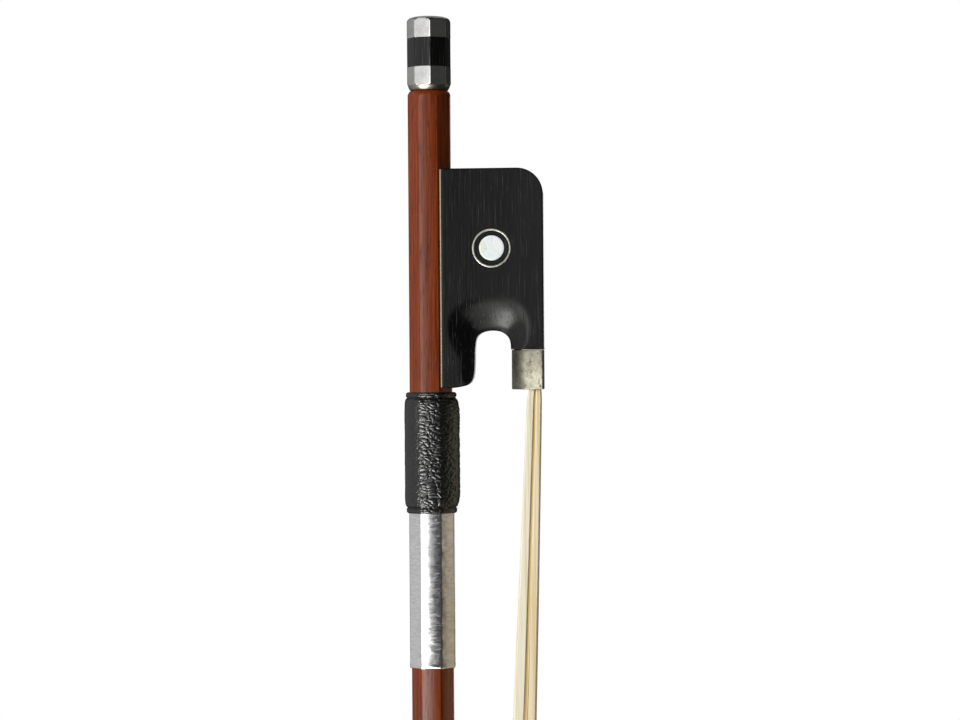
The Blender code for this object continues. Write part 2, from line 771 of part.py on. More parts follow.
def make_button():
    z0, z1 = COLLAR_Z
    inside = TENON_R + GAP + 0.05 * MM
    profile = (
        (inside, z0),
        (COLLAR_R - 0.3 * MM, z0),
        (COLLAR_R, z0 + 0.4 * MM),
        (COLLAR_R, z1),
        (inside, z1),
    )
    rings = [disc(radius, z, 40) for radius, z in profile]
    smooth(loft("button_collar", rings, "nickel_silver", closed=True))
    turn = BUTTON_TURN
    z0, z1 = FRONT_RING_Z
    rings = [
        octagon(BUTTON_FLATS - 0.8 * MM, z0, turn, 0.3, 32),
        octagon(BUTTON_FLATS, z0 + 0.45 * MM, turn, 0.03, 32),
        octagon(BUTTON_FLATS, z1 - 0.08 * MM, turn, 0.03, 32),
        octagon(BUTTON_FLATS - 0.16 * MM, z1, turn, 0.03, 32),
    ]
    front = loft("button_front_ring", rings, "nickel_silver")
    cut(front, rod("bore", CORE_TENON_R + GAP, z0 - MM, z1 + MM))
    smooth(front, 20)

    z0, z1 = CORE_Z
    core = loft("button_core", [octagon(BUTTON_FLATS - 0.06 * MM, z, turn) for z in CORE_Z], "ebony")
    join(core, rod("tenons", CORE_TENON_R, TENON_END_Z + 0.4 * MM, z1 + 2.2 * MM))
    half = SHANK_SIDE / 2 + GAP
    cut(core, box("socket", (-half, -half, 79 * MM), (half, half, SCREW_TOP_Z + GAP)))

    z0, z1 = CAP_Z
    rings = [
        octagon(BUTTON_FLATS - 0.16 * MM, z0, turn, 0.03, 32),
        octagon(BUTTON_FLATS, z0 + 0.08 * MM, turn, 0.03, 32),
        octagon(BUTTON_FLATS, z1 - 1.25 * MM, turn, 0.03, 32),
        octagon(BUTTON_FLATS - 0.55 * MM, z1 - 0.62 * MM, turn, 0.25, 32),
        octagon(BUTTON_FLATS - 1.9 * MM, z1 - 0.2 * MM, turn, 0.6, 32),
        octagon(BUTTON_FLATS - 5.0 * MM, z1, turn, 1.0, 32),
    ]
    cap = loft("button_rear_cap", rings, "nickel_silver")
    cut(cap, rod("socket", CORE_TENON_R + GAP, z0 - MM, CORE_Z[1] + 2.5 * MM))
    smooth(cap, 20)


# Leather and lapping


def sleeve(name, stations, round_share, inside, look, steps=32):
    """A tube round the stick: stations are (z, across flats), and the inside is an octagon."""
    low, high = stations[0][0], stations[-1][0]
    rings = [octagon(flats, z, 0.0, round_share, steps) for z, flats in stations]
    rings += [octagon(inside, high, 0.0, 0.0, steps), octagon(inside, low, 0.0, 0.0, steps)]
    return smooth(loft(name, rings, look, closed=True), 40)


def make_sleeves():
    lip = ((0.0, 1.25), (0.35, 0.75), (0.8, 0.62), (1.15, 0.8), (1.35, 0.8), (1.8, 0.28), (2.6, 0.05))
    low = [(-LEATHER_HALF + z * MM, LEATHER_FLATS - loss * MM) for z, loss in lip]
    high = [(-z, flats) for z, flats in reversed(low)]
    middle = [(0.0, LEATHER_FLATS)]
    sleeve("thumb_leather", low + middle + high, 0.6, SLEEVE_INSIDE, "leather")
    lapping = [
        (LAPPING_LOW_Z, LAPPING_FLATS - 0.24 * MM),
        (LAPPING_LOW_Z + 0.25 * MM, LAPPING_FLATS + 0.04 * MM),
        (LAPPING_LOW_Z + 0.8 * MM, LAPPING_FLATS + 0.04 * MM),
        (LAPPING_LOW_Z + 1.2 * MM, LAPPING_FLATS),
        (LAPPING_TOP_Z, LAPPING_FLATS),
    ]
    sleeve("metal_lapping", lapping, 0.3, SLEEVE_INSIDE, "lapping_metal")


def main():
    clear_scene()
    make_stick()
    make_head_plates()
    make_head_fill()
    make_hair()
    make_frog()
    make_frog_fill()
    make_ferrule()
    make_underslide()
    make_slide()
    make_eyes()
    make_eyelet()
    make_screw()
    make_button()
    make_sleeves()


main()
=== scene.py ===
"""Looks of the viola bow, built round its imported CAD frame.

Metres, in the frame of the CAD: +Z runs along the stick to the button, +X from the stick to the
hair, and the camera looks at the frog's -Y cheek. Tables are in millimetres where they say so.
"""

import math
import random

import bmesh
import bpy
import numpy as np
from mathutils import Matrix, Quaternion, Vector, noise
from mathutils.geometry import delaunay_2d_cdt


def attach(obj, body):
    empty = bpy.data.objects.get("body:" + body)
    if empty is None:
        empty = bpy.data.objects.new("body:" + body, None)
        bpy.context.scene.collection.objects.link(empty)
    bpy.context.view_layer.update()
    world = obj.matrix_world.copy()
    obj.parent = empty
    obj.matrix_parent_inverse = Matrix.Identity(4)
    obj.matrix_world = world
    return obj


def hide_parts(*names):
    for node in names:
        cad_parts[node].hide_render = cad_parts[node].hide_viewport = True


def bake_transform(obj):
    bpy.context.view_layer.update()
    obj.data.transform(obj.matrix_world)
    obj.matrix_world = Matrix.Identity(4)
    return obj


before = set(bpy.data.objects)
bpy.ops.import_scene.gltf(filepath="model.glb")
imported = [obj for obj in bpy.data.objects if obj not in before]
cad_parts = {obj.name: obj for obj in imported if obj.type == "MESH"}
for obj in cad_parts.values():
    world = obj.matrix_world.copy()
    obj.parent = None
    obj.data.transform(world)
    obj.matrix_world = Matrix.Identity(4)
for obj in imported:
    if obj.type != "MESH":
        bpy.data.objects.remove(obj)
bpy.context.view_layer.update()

MM = 0.001

# Camera, as measured in the photo
CAMERA_TARGET = (0.0105, 0.0, 0.0197)
CAMERA_AWAY = 0.5985
CAMERA_AZIMUTH = 2.0
CAMERA_ROLL = -0.405
CAMERA_LENS = 105.0

# Stick, as in the CAD, millimetres
STICK_FLATS = 8.9
HANDLE_FLATS = 9.0
STICK_END_Z = 77.1
END_ROUND = ((0.0, 4.2), (0.45, 4.5), (1.0, 4.72), (1.9, 4.9))
BEND_Z = -60.0
BEND_PER_METRE = 0.218
BEND_LENGTH = 568.0
TENON_R = 2.55
TENON_END_Z = 79.9

# Frog, millimetres
FROG_INNER_X = 2.6
FROG_OUTER_X = 24.25
FROG_HALF = 5.3
CHEEK_SLOPE = 1.35 / 21.65
FROG_HIGH_Z = 60.35
HEEL_ROUND = 5.6
FRONT_Z = 21.9
EYE = (13.3, 43.4)

BUTTON_FLATS = 8.7
BUTTON_TURN = math.radians(-15.5)


# Mesh helpers


def mesh_object(name, points, faces):
    mesh = bpy.data.meshes.new(name)
    mesh.from_pydata([tuple(p) for p in points], [], faces)
    shape = bmesh.new()
    shape.from_mesh(mesh)
    bmesh.ops.recalc_face_normals(shape, faces=shape.faces)
    shape.to_mesh(mesh)
    shape.free()
    obj = bpy.data.objects.new(name, mesh)
    bpy.context.scene.collection.objects.link(obj)
    return obj


def skin(name, rings, closed=False):
    """A mesh over rings of equally many points in millimetres, capped unless it closes on itself."""
    count = len(rings[0])
    points = [Vector(p) * MM for ring in rings for p in ring]
    spans = len(rings) if closed else len(rings) - 1
    faces = []
    for i in range(spans):
        low = i * count
        high = (i + 1) % len(rings) * count
        for j in range(count):
            k = (j + 1) % count
            faces.append((low + j, low + k, high + k, high + j))
    if not closed:
        faces.append(tuple(range(count)))
        faces.append(tuple(range(len(points) - count, len(points))))
    return mesh_object(name, points, faces)


def circle(radius, z, steps=64):
    turns = [2 * math.pi * i / steps for i in range(steps)]
    return [(radius * math.cos(a), radius * math.sin(a), z) for a in turns]


def tube(inner, outer, z0, z1, steps=96):
    section = ((inner, z0), (outer, z0), (outer, z1), (inner, z1))
    return skin("tube", [circle(r, z, steps) for r, z in section], closed=True)


def rod(radius, z0, z1, steps=64):
    return skin("rod", [circle(radius, z0, steps), circle(radius, z1, steps)])


def box(low, high):
    (x0, y0, z0), (x1, y1, z1) = low, high
    rings = [[(x0, y0, z), (x1, y0, z), (x1, y1, z), (x0, y1, z)] for z in (z0, z1)]
    return skin("box", rings)


def moved(obj, matrix):
    obj.data.transform(matrix)
    return obj


def combine(obj, others, operation):
    for other in others:
        modifier = obj.modifiers.new("cut", "BOOLEAN")
        modifier.operation = operation
        modifier.solver = "EXACT"
        modifier.object = other
    graph = bpy.context.evaluated_depsgraph_get()
    made = bpy.data.meshes.new_from_object(obj.evaluated_get(graph))
    before = obj.data
    obj.modifiers.clear()
    obj.data = made
    bpy.data.meshes.remove(before)
    for other in others:
        bpy.data.objects.remove(other)
    return obj


def cut(obj, *others):
    return combine(obj, others, "DIFFERENCE")


def join(obj, *others):
    return combine(obj, others, "UNION")


def shade(obj, degrees=30.0):
    obj.data.shade_smooth()
    obj.data.set_sharp_from_angle(angle=math.radians(degrees))
    return obj


def dress(obj, look, body, slot, *nodes):
    """Gives the piece its material and the body it rides on, and hides the CAD nodes it stands for. The slot
    argument is not used.
    """
    obj.data.materials.clear()
    obj.data.materials.append(look)
    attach(obj, body)
    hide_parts(*nodes)
    return obj


def table_value(table, at):
    """Straight interpolation in a table of (key, value), keys rising."""
    return float(np.interp(at, [row[0] for row in table], [row[1] for row in table]))


def curve_through(points, steps):
    """Smooth line through points, with this many steps between each pair."""
    p = [np.array(q, float) for q in points]
    p = [2 * p[0] - p[1]] + p + [2 * p[-1] - p[-2]]
    out = []
    for a, b, c, d in zip(p, p[1:], p[2:], p[3:]):
        for i in range(steps):
            t = i / steps
            out.append(
                0.5
                * (
                    2 * b
                    + (c - a) * t
                    + (2 * a - 5 * b + 4 * c - d) * t * t
                    + (3 * b - a - 3 * c + d) * t * t * t
                )
            )
    out.append(p[-2])
    return out


# Faceted rings: eight flats with rounded arrises, each flat a little crowned

FLAT_STATIONS = (0.0, 0.02, 0.06, 0.12, 0.24, 0.5, 0.76, 0.84, 0.88, 0.92, 0.95, 0.98, 1.0)
HALF_CORNER = math.tan(math.pi / 8)
WORN_BLEND = 0.15


def facet_ring(flats, z, turn=0.0, radii=0.25, crown=0.0, limit=None, worn=None, stations=FLAT_STATIONS):
    """One ring. radii and crown may differ from flat to flat, and limit is a lathe-turned radius.

    worn rounds the -Y flat over: how much it drops per square millimetre, and where it is highest.
    """
    rounds = [radii] * 8 if isinstance(radii, float) else list(radii)
    crowns = [crown] * 8 if isinstance(crown, float) else list(crown)
    apothem = flats / 2
    side = apothem * HALF_CORNER
    ring = []
    for k in range(8):
        angle = turn + k * math.pi / 4
        normal = Vector((math.cos(angle), math.sin(angle), 0.0))
        along = Vector((-math.sin(angle), math.cos(angle), 0.0))
        low = -side + rounds[k - 1] * HALF_CORNER
        high = side - rounds[k] * HALF_CORNER
        for s in stations:
            bulge = crowns[k] * (1 - (2 * s - 1) ** 2)
            ring.append(normal * (apothem + bulge) + along * (low + (high - low) * s))
        centre = normal * (apothem - rounds[k]) + along * high
        for j in (1, 2, 3):
            turned = angle + math.pi / 4 * j / 4
            ring.append(centre + rounds[k] * Vector((math.cos(turned), math.sin(turned), 0.0)))
    out = []
    for p in ring:
        if worn is not None:
            front = worn[0] * (p.x - worn[1]) ** 2 - apothem
            near = max(0.0, 1 - abs(p.y - front) / WORN_BLEND) if p.x < -0.27 * apothem else 0.0
            p.y = max(p.y, front) + WORN_BLEND / 6 * near**3
        if limit is not None and p.length > limit:
            p = p * (limit / p.length)
        out.append(Vector((p.x, p.y, z)))
    return out


# Materials


class Look:
    """A node material. Coordinates are the object's own, in metres, or a stored attribute."""

    def __init__(self, name, attribute=None):
        self.mat = bpy.data.materials.new(name)
        self.mat.use_nodes = True
        self.tree = self.mat.node_tree
        self.shader = self.tree.nodes["Principled BSDF"]
        if attribute:
            source = self.tree.nodes.new("ShaderNodeAttribute")
            source.attribute_name = attribute
            self.at = source.outputs["Vector"]
        else:
            source = self.tree.nodes.new("ShaderNodeTexCoord")
            self.at = source.outputs["Object"]

    def new(self, kind, **settings):
        node = self.tree.nodes.new(kind)
        for key, value in settings.items():
            setattr(node, key, value)
        return node

    def link(self, source, target):
        self.tree.links.new(source, target)

    def constant(self, **values):
        """Sets plain values on the shader's own sockets: words joined by _ name the socket."""
        for key, value in values.items():
            self.shader.inputs[key.replace("_", " ")].default_value = value

    def scaled(self, scale, turn=(0.0, 0.0, 0.0)):
        node = self.new("ShaderNodeMapping")
        node.inputs["Scale"].default_value = scale
        node.inputs["Rotation"].default_value = turn
        self.link(self.at, node.inputs["Vector"])
        return node.outputs["Vector"]

    def noise(self, scale, detail=4.0, rough=0.55, bend=0.0):
        node = self.new("ShaderNodeTexNoise")
        node.inputs["Scale"].default_value = 1.0
        node.inputs["Detail"].default_value = detail
        node.inputs["Roughness"].default_value = rough
        node.inputs["Distortion"].default_value = bend
        self.link(self.scaled(scale), node.inputs["Vector"])
        return node.outputs["Fac"]

    def cells(self, scale, feature="F1", vector=None):
        node = self.new("ShaderNodeTexVoronoi", feature=feature)
        node.inputs["Scale"].default_value = 1.0
        self.link(vector or self.scaled(scale), node.inputs["Vector"])
        return node.outputs["Distance"]

    def span(self, value, low, high, to_low=0.0, to_high=1.0):
        node = self.new("ShaderNodeMapRange", interpolation_type="SMOOTHSTEP")
        node.inputs["From Min"].default_value = low
        node.inputs["From Max"].default_value = high
        node.inputs["To Min"].default_value = to_low
        node.inputs["To Max"].default_value = to_high
        self.link(value, node.inputs["Value"])
        return node.outputs["Result"]

    def math(self, operation, a, b):
        node = self.new("ShaderNodeMath", operation=operation)
        for socket, value in zip(node.inputs, (a, b)):
            if isinstance(value, (int, float)):
                socket.default_value = value
            else:
                self.link(value, socket)
        return node.outputs["Value"]

    def mix(self, share, a, b, blend="MIX"):
        node = self.new("ShaderNodeMix", data_type="RGBA", blend_type=blend)
        sockets = (node.inputs[0], node.inputs[6], node.inputs[7])
        for socket, value in zip(sockets, (share, a, b)):
            if isinstance(value, (int, float)):
                socket.default_value = value
            elif isinstance(value, tuple):
                socket.default_value = (*value, 1.0)
            else:
                self.link(value, socket)
        return node.outputs[2]

    def ramp(self, value, *stops):
        node = self.new("ShaderNodeValToRGB")
        band = node.color_ramp
        while len(band.elements) < len(stops):
            band.elements.new(0.5)
        for element, (place, colour) in zip(band.elements, stops):
            element.position = place
            element.color = (*colour, 1.0)
        self.link(value, node.inputs["Fac"])
        return node.outputs["Color"]

    def bump(self, height, depth, strength=1.0, under=None):
        node = self.new("ShaderNodeBump")
        node.inputs["Distance"].default_value = depth
        node.inputs["Strength"].default_value = strength
        self.link(height, node.inputs["Height"])
        if under is not None:
            self.link(under, node.inputs["Normal"])
        return node.outputs["Normal"]

    def edges(self, low=0.52, high=0.62):
        """Where the surface is convex: worn, polished edges, and in some looks painted highlight on arrises."""
        node = self.new("ShaderNodeNewGeometry")
        return self.span(node.outputs["Pointiness"], low, high)

    def use(self, colour=None, rough=None, normal=None):
        for value, name in ((colour, "Base Color"), (rough, "Roughness"), (normal, "Normal")):
            if value is not None:
                self.link(value, self.shader.inputs[name])
        return self.mat


def wood_look():
    look = Look("pernambuco", "grain")
    fibre = look.noise((3600.0, 3600.0, 60.0), 6.0, 0.62, 0.2)
    broad = look.noise((520.0, 520.0, 9.0), 3.0, 0.5, 0.4)
    pores = look.noise((5200.0, 5200.0, 240.0), 3.0, 0.5)
    colour = look.ramp(
        fibre,
        (0.30, (0.066, 0.0094, 0.0017)),
        (0.50, (0.136, 0.0243, 0.0042)),
        (0.70, (0.214, 0.0455, 0.0085)),
    )
    tone = look.span(broad, 0.32, 0.68)
    colour = look.mix(tone, colour, look.mix(1.0, colour, (1.22, 1.12, 0.95), "MULTIPLY"))
    fleck = look.span(pores, 0.59, 0.68)
    colour = look.mix(fleck, colour, look.mix(1.0, colour, (0.40, 0.30, 0.30), "MULTIPLY"))
    # Lighter convex arrises: partly worn wood, partly painted highlight on the arrises.
    colour = look.mix(look.edges(0.56, 0.70), colour, (0.22, 0.060, 0.016))
    place = look.new("ShaderNodeSeparateXYZ")
    look.link(look.at, place.inputs["Vector"])
    worn = look.span(place.outputs["Z"], -0.052, -0.044, 0.0, 0.07)
    rough = look.math("ADD", worn, look.span(fibre, 0.3, 0.75, 0.10, 0.20))
    height = look.math("SUBTRACT", look.math("MULTIPLY", fibre, 0.6), fleck)
    look.constant(Coat_Weight=0.15, Coat_Roughness=0.10, IOR=1.5, Specular_IOR_Level=0.26)
    return look.use(colour, rough, look.bump(height, 0.00003, 0.6))


def ebony_look(name="ebony", rough=(0.16, 0.22), hair_side_light=1.0, gloss=0.13, edge=0.012):
    """Black wood, painted lighter towards the hair side as painted light; the third argument sets how much."""
    look = Look(name)
    fibre = look.noise((2600.0, 2600.0, 90.0), 6.0, 0.62, 0.15)
    pores = look.noise((3700.0, 3700.0, 130.0), 3.0, 0.55)
    cloud = look.noise((260.0, 260.0, 60.0), 3.0, 0.5)
    colour = look.ramp(fibre, (0.32, (0.0012, 0.0013, 0.0014)), (0.72, (0.0040, 0.0040, 0.0038)))
    place = look.new("ShaderNodeSeparateXYZ")
    look.link(look.at, place.inputs["Vector"])
    # Painted light: lighter towards the hair side, standing in for how the light falls across the cheek.
    toward_x_share = look.math("MULTIPLY", look.span(place.outputs["X"], 0.004, 0.026), 0.45 * hair_side_light)
    colour = look.mix(toward_x_share, colour, (0.021, 0.021, 0.0205))
    pore = look.span(pores, 0.585, 0.72, 0.0, 0.8)
    colour = look.mix(pore, colour, (0.030, 0.029, 0.027))
    # Lighter convex edges: wear on the frog, and with the button's much lighter edge colour, painted highlight
    # lines on its arrises.
    colour = look.mix(look.edges(0.54, 0.68), colour, (edge, edge, edge))
    grade = look.span(cloud, 0.3, 0.7, *rough)
    height = look.math("SUBTRACT", look.math("MULTIPLY", fibre, 0.5), pore)
    look.constant(IOR=1.5, Specular_IOR_Level=gloss)
    grade = look.math("ADD", grade, look.math("MULTIPLY", pore, 0.12))
    return look.use(colour, grade, look.bump(height, 0.00005, 0.5))


def silver_look(name, tint, rough, speck, mottle=0.90, coarse=1.0):
    look = Look(name)
    cloud = look.noise((420.0, 420.0, 420.0), 4.0, 0.6)
    fine = look.noise((3800.0, 3800.0, 3800.0), 3.0, 0.6)
    spots = look.noise((1900.0 * coarse, 1900.0 * coarse, 1300.0 * coarse), 6.0, 0.7, 0.6)
    light = tuple(min(1.0, c * 1.05) for c in tint)
    dark = tuple(c * mottle for c in tint)
    colour = look.ramp(cloud, (0.34, dark), (0.64, light))
    spot = look.math("MULTIPLY", look.span(spots, 0.52, 0.64), speck)
    colour = look.mix(spot, colour, (0.24, 0.20, 0.12))
    colour = look.mix(look.edges(0.53, 0.64), colour, tuple(min(1.0, c * 1.35) for c in tint))
    rise = look.math("ADD", look.span(fine, 0.3, 0.7, *rough), look.math("MULTIPLY", spot, 0.2))
    look.constant(Metallic=1.0)
    return look.use(colour, rise, look.bump(look.math("ADD", fine, cloud), 0.000006, 0.4))


def lapping_look():
    look = Look("lapping_metal")
    place = look.new("ShaderNodeSeparateXYZ")
    look.link(look.at, place.inputs["Vector"])
    # Painted shade: the hair side of the lapping is darkened, standing in for the side turned away from the
    # light.
    hair_side_shade = look.span(place.outputs["X"], 0.0018, 0.0030)
    bands = look.noise((620.0, 620.0, 3600.0), 4.0, 0.65, 0.3)
    wide = look.noise((420.0, 420.0, 520.0), 4.0, 0.65, 0.4)
    scratch = look.noise((900.0, 2600.0, 3900.0), 3.0, 0.5, 0.8)
    colour = look.ramp(wide, (0.30, (0.80, 0.80, 0.80)), (0.60, (0.93, 0.93, 0.92)))
    colour = look.mix(look.span(bands, 0.35, 0.7, 0.0, 0.5), colour, (0.60, 0.60, 0.60))
    mark = look.span(scratch, 0.60, 0.70, 0.0, 0.6)
    colour = look.mix(mark, colour, (0.40, 0.39, 0.40))
    # The painted shade is multiplied in here.
    colour = look.mix(hair_side_shade, colour, look.mix(1.0, colour, (0.49, 0.455, 0.455), "MULTIPLY"))
    rough = look.math("ADD", look.span(bands, 0.3, 0.7, 0.12, 0.24), look.math("MULTIPLY", mark, 0.2))
    height = look.math("ADD", look.math("MULTIPLY", bands, 2.2), look.math("MULTIPLY", wide, 1.6))
    look.constant(Metallic=1.0)
    return look.use(colour, rough, look.bump(height, 0.00001, 0.6))


def plain_metal_look(name, tint, rough):
    look = Look(name)
    cloud = look.noise((500.0, 500.0, 500.0), 4.0, 0.6)
    lines = look.noise((900.0, 900.0, 6000.0), 4.0, 0.6)
    colour = look.ramp(cloud, (0.3, tuple(c * 0.72 for c in tint)), (0.7, tint))
    look.constant(Metallic=1.0)
    rise = look.span(lines, 0.3, 0.7, rough * 0.8, rough * 1.35)
    return look.use(colour, rise, look.bump(lines, 0.000012, 0.5))


def leather_look():
    look = Look("leather")
    warp = look.noise((900.0, 900.0, 900.0), 2.0, 0.5)
    tiny = look.noise((7000.0, 7000.0, 9000.0), 4.0, 0.6)
    colour = look.ramp(warp, (0.3, (0.0028, 0.0028, 0.0030)), (0.7, (0.0060, 0.0060, 0.0062)))
    colour = look.mix(look.edges(0.52, 0.60), colour, (0.012, 0.012, 0.0125))
    rough = look.span(tiny, 0.3, 0.7, 0.30, 0.40)
    look.constant(IOR=1.5, Specular_IOR_Level=0.68)
    return look.use(colour, rough, look.bump(tiny, 0.00001, 0.5))


def pearl_look():
    look = Look("pearl")
    layers = look.noise((150.0, 150.0, 190.0), 2.0, 0.5, 1.8)
    fine = look.noise((1500.0, 1500.0, 2600.0), 4.0, 0.6, 0.8)
    colour = look.ramp(
        layers,
        (0.28, (0.66, 0.76, 0.76)),
        (0.42, (0.78, 0.82, 0.83)),
        (0.485, (0.66, 0.73, 0.66)),
        (0.510, (0.72, 0.62, 0.47)),
        (0.535, (0.80, 0.81, 0.84)),
        (0.66, (0.79, 0.79, 0.87)),
        (0.74, (0.67, 0.77, 0.84)),
    )
    colour = look.mix(look.span(fine, 0.35, 0.7, 0.0, 0.35), colour, (0.82, 0.84, 0.865))
    look.constant(IOR=1.53, Coat_Weight=0.5, Coat_Roughness=0.08, Thin_Film_Thickness=420.0)
    rough = look.span(fine, 0.3, 0.7, 0.16, 0.30)
    return look.use(colour, rough, look.bump(layers, 0.00002, 0.4))


def bone_look():
    look = Look("bone")
    cloud = look.noise((400.0, 400.0, 120.0), 4.0, 0.6)
    fine = look.noise((3600.0, 3600.0, 600.0), 3.0, 0.6)
    colour = look.ramp(cloud, (0.3, (0.62, 0.55, 0.40)), (0.7, (0.76, 0.71, 0.58)))
    look.constant(IOR=1.5, Subsurface_Weight=0.08)
    return look.use(colour, look.span(fine, 0.3, 0.7, 0.3, 0.42), look.bump(fine, 0.00002, 0.4))


def plug_look():
    look = Look("plug_wood")
    fibre = look.noise((2600.0, 2600.0, 140.0), 5.0, 0.6)
    colour = look.ramp(fibre, (0.3, (0.36, 0.24, 0.12)), (0.7, (0.56, 0.41, 0.24)))
    return look.use(colour, look.span(fibre, 0.3, 0.7, 0.5, 0.7), look.bump(fibre, 0.00004, 0.5))


def bound_look():
    look = Look("bound_hair")
    threads = look.noise((600.0, 600.0, 6500.0), 4.0, 0.6)
    colour = look.ramp(threads, (0.3, (0.13, 0.08, 0.04)), (0.7, (0.42, 0.30, 0.16)))
    return look.use(colour, look.span(threads, 0.3, 0.7, 0.45, 0.65), look.bump(threads, 0.00006, 0.7))


def hair_look():
    look = Look("horsehair")
    source = look.new("ShaderNodeAttribute", attribute_name="strand")
    tone = source.outputs["Fac"]
    along = look.noise((1700.0, 1700.0, 18.0), 3.0, 0.7)
    colour = look.ramp(
        tone,
        # Tones below 0.12 colour the painted shade in the gap between the bundles.
        (0.0, (0.60, 0.43, 0.19)),
        (0.12, (0.64, 0.50, 0.26)),
        (0.30, (0.70, 0.59, 0.37)),
        (0.50, (0.79, 0.68, 0.48)),
        (0.75, (0.82, 0.77, 0.61)),
        (1.0, (0.85, 0.82, 0.69)),
    )
    shift = look.mix(1.0, colour, (0.82, 0.73, 0.52), "MULTIPLY")
    colour = look.mix(look.span(along, 0.46, 0.60, 0.0, 0.8), colour, shift)
    look.constant(IOR=1.55)
    return look.use(colour, look.span(along, 0.3, 0.7, 0.34, 0.5))


LOOKS = {
    "pernambuco": wood_look(),
    "ebony": ebony_look(),
    # Its edge colour of 0.10 paints highlight lines on the button's arrises.
    "button_ebony": ebony_look("button_ebony", (0.12, 0.18), 0.0, 0.30, 0.10),
    "nickel_silver": silver_look("nickel_silver", (0.54, 0.537, 0.52), (0.12, 0.20), 0.10),
    "ring_silver": silver_look("ring_silver", (0.40, 0.395, 0.355), (0.42, 0.52), 0.35),
    "shoulder_silver": silver_look("shoulder_silver", (0.35, 0.33, 0.27), (0.34, 0.46), 0.6),
    "ferrule_silver": silver_look("ferrule_silver", (0.49, 0.47, 0.375), (0.46, 0.60), 0.8, 0.62, 0.9),
    "lapping_metal": lapping_look(),
    "brass": plain_metal_look("brass", (0.80, 0.66, 0.38), 0.28),
    "pale_gold": plain_metal_look("pale_gold", (0.86, 0.76, 0.54), 0.22),
    "steel": plain_metal_look("steel", (0.52, 0.52, 0.53), 0.3),
    "leather": leather_look(),
    "pearl": pearl_look(),
    "bone": bone_look(),
    "plug_wood": plug_look(),
    "bound_hair": bound_look(),
    "horsehair": hair_look(),
}

# CAD nodes whose shape stays, with their materials
KEPT_NODES = {
    "screw": "steel",
    "eyelet": "brass",
    "underslide_pin_front": "brass",
    "underslide_pin_rear": "brass",
    "slide_base": "ebony",
    "slide_pearl": "pearl",
    "eye_pearl_near": "pearl",
    "eye_pearl_far": "pearl",
    "frog_plug": "plug_wood",
    "ferrule_wedge": "plug_wood",
    "head_plug": "plug_wood",
    "hair_knot_frog": "bound_hair",
    "hair_knot_head": "bound_hair",
}


def dress_kept_nodes():
    for name, look in KEPT_NODES.items():
        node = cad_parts[name]
        for slot in node.material_slots:
            slot.material = LOOKS[look]


# Stick and head. They are built straight, grain stored, and then bent


def end_limit(z):
    """Radius of the lathe-turned button end, or None further down."""
    drop = STICK_END_Z - z
    return None if drop > 1.9 else table_value(END_ROUND, max(drop, 0.0))


HANDLE_WORN = (0.020, 0.9)


def stick_flats(share):
    return 8.82 - 1.28 * share - 1.84 * share * share


def stick_rings():
    rings = []
    for i in range(21):
        z = STICK_END_Z - 2.0 * i / 20
        rings.append(facet_ring(HANDLE_FLATS, z, 0.0, 0.2, 0.05, end_limit(z), HANDLE_WORN))
    for z in (70.0, 60.0, 50.0, 40.0, 30.0, 20.0, 13.0, 0.0, -13.0):
        rings.append(facet_ring(HANDLE_FLATS, z, 0.0, 0.2, 0.05, None, HANDLE_WORN))
    for z in (-30.0, -45.0, -52.0):
        rings.append(facet_ring(8.82, z, 0.0, 0.2, 0.08, None, (0.026, 1.6)))
    steps = 64
    for i in range(steps + 1):
        share = i / steps
        flats = stick_flats(share)
        z = BEND_Z - BEND_LENGTH * share
        part = flats / 8.82
        rings.append(facet_ring(flats, z, 0.0, 0.2 * part, 0.08 * part, None, (0.026 / part, 1.6 * part)))
    rings.append(facet_ring(3.6, BEND_Z - BEND_LENGTH - 4.5, 0.0, 0.1, 0.0))
    return rings


# Head levels: v, rear u, front u, half width and the share of it at the rear, millimetres
HEAD_LEVELS = (
    (-2.80, -7.0, 3.0, 1.13, 0.6),
    (-2.20, -7.0, 5.8, 1.75, 0.6),
    (-1.12, -7.0, 8.4, 2.75, 0.6),
    (1.12, -7.0, 10.8, 2.8, 0.6),
    (2.40, -6.6, 11.7, 2.75, 0.42),
    (3.30, -5.0, 12.2, 2.75, 0.46),
    (4.60, -3.3, 12.7, 2.75, 0.55),
    (6.50, -1.9, 13.2, 2.8, 0.62),
    (9.00, -1.1, 13.8, 2.9, 0.66),
    (11.5, -0.9, 14.7, 3.15, 0.68),
    (14.0, -1.1, 15.9, 3.55, 0.7),
    (16.2, -1.5, 17.3, 4.0, 0.72),
    (18.4, -2.2, 19.2, 4.5, 0.74),
    (20.6, -3.0, 22.2, 5.1, 0.76),
)
HEAD_OUTLINE = (
    (0.0, 0.0), (0.035, 0.5), (0.09, 0.8), (0.18, 1.0), (0.42, 1.0), (0.60, 0.93), (0.76, 0.74),
    (0.90, 0.38), (0.975, 0.10),
)
HEAD_SIDE = curve_through(HEAD_OUTLINE, 5)


def head_ring(v, rear, front, half, rear_share):
    """Straight frame: x is v, and z runs down as u runs to the tip."""
    side = []
    for f, w in HEAD_SIDE:
        width = half * (rear_share + (1 - rear_share) * min(w, 1.0)) if f < 0.42 else half * w
        side.append((rear + (front - rear) * f, width))
    around = side + [(front, 0.0)] + [(u, -y) for u, y in reversed(side)]
    return [(v, y, BEND_Z - BEND_LENGTH - u) for u, y in around]


def head_levels():
    low = curve_through(HEAD_LEVELS[:4], 2)
    high = curve_through(HEAD_LEVELS[3:], 5)
    return low[:-1] + high


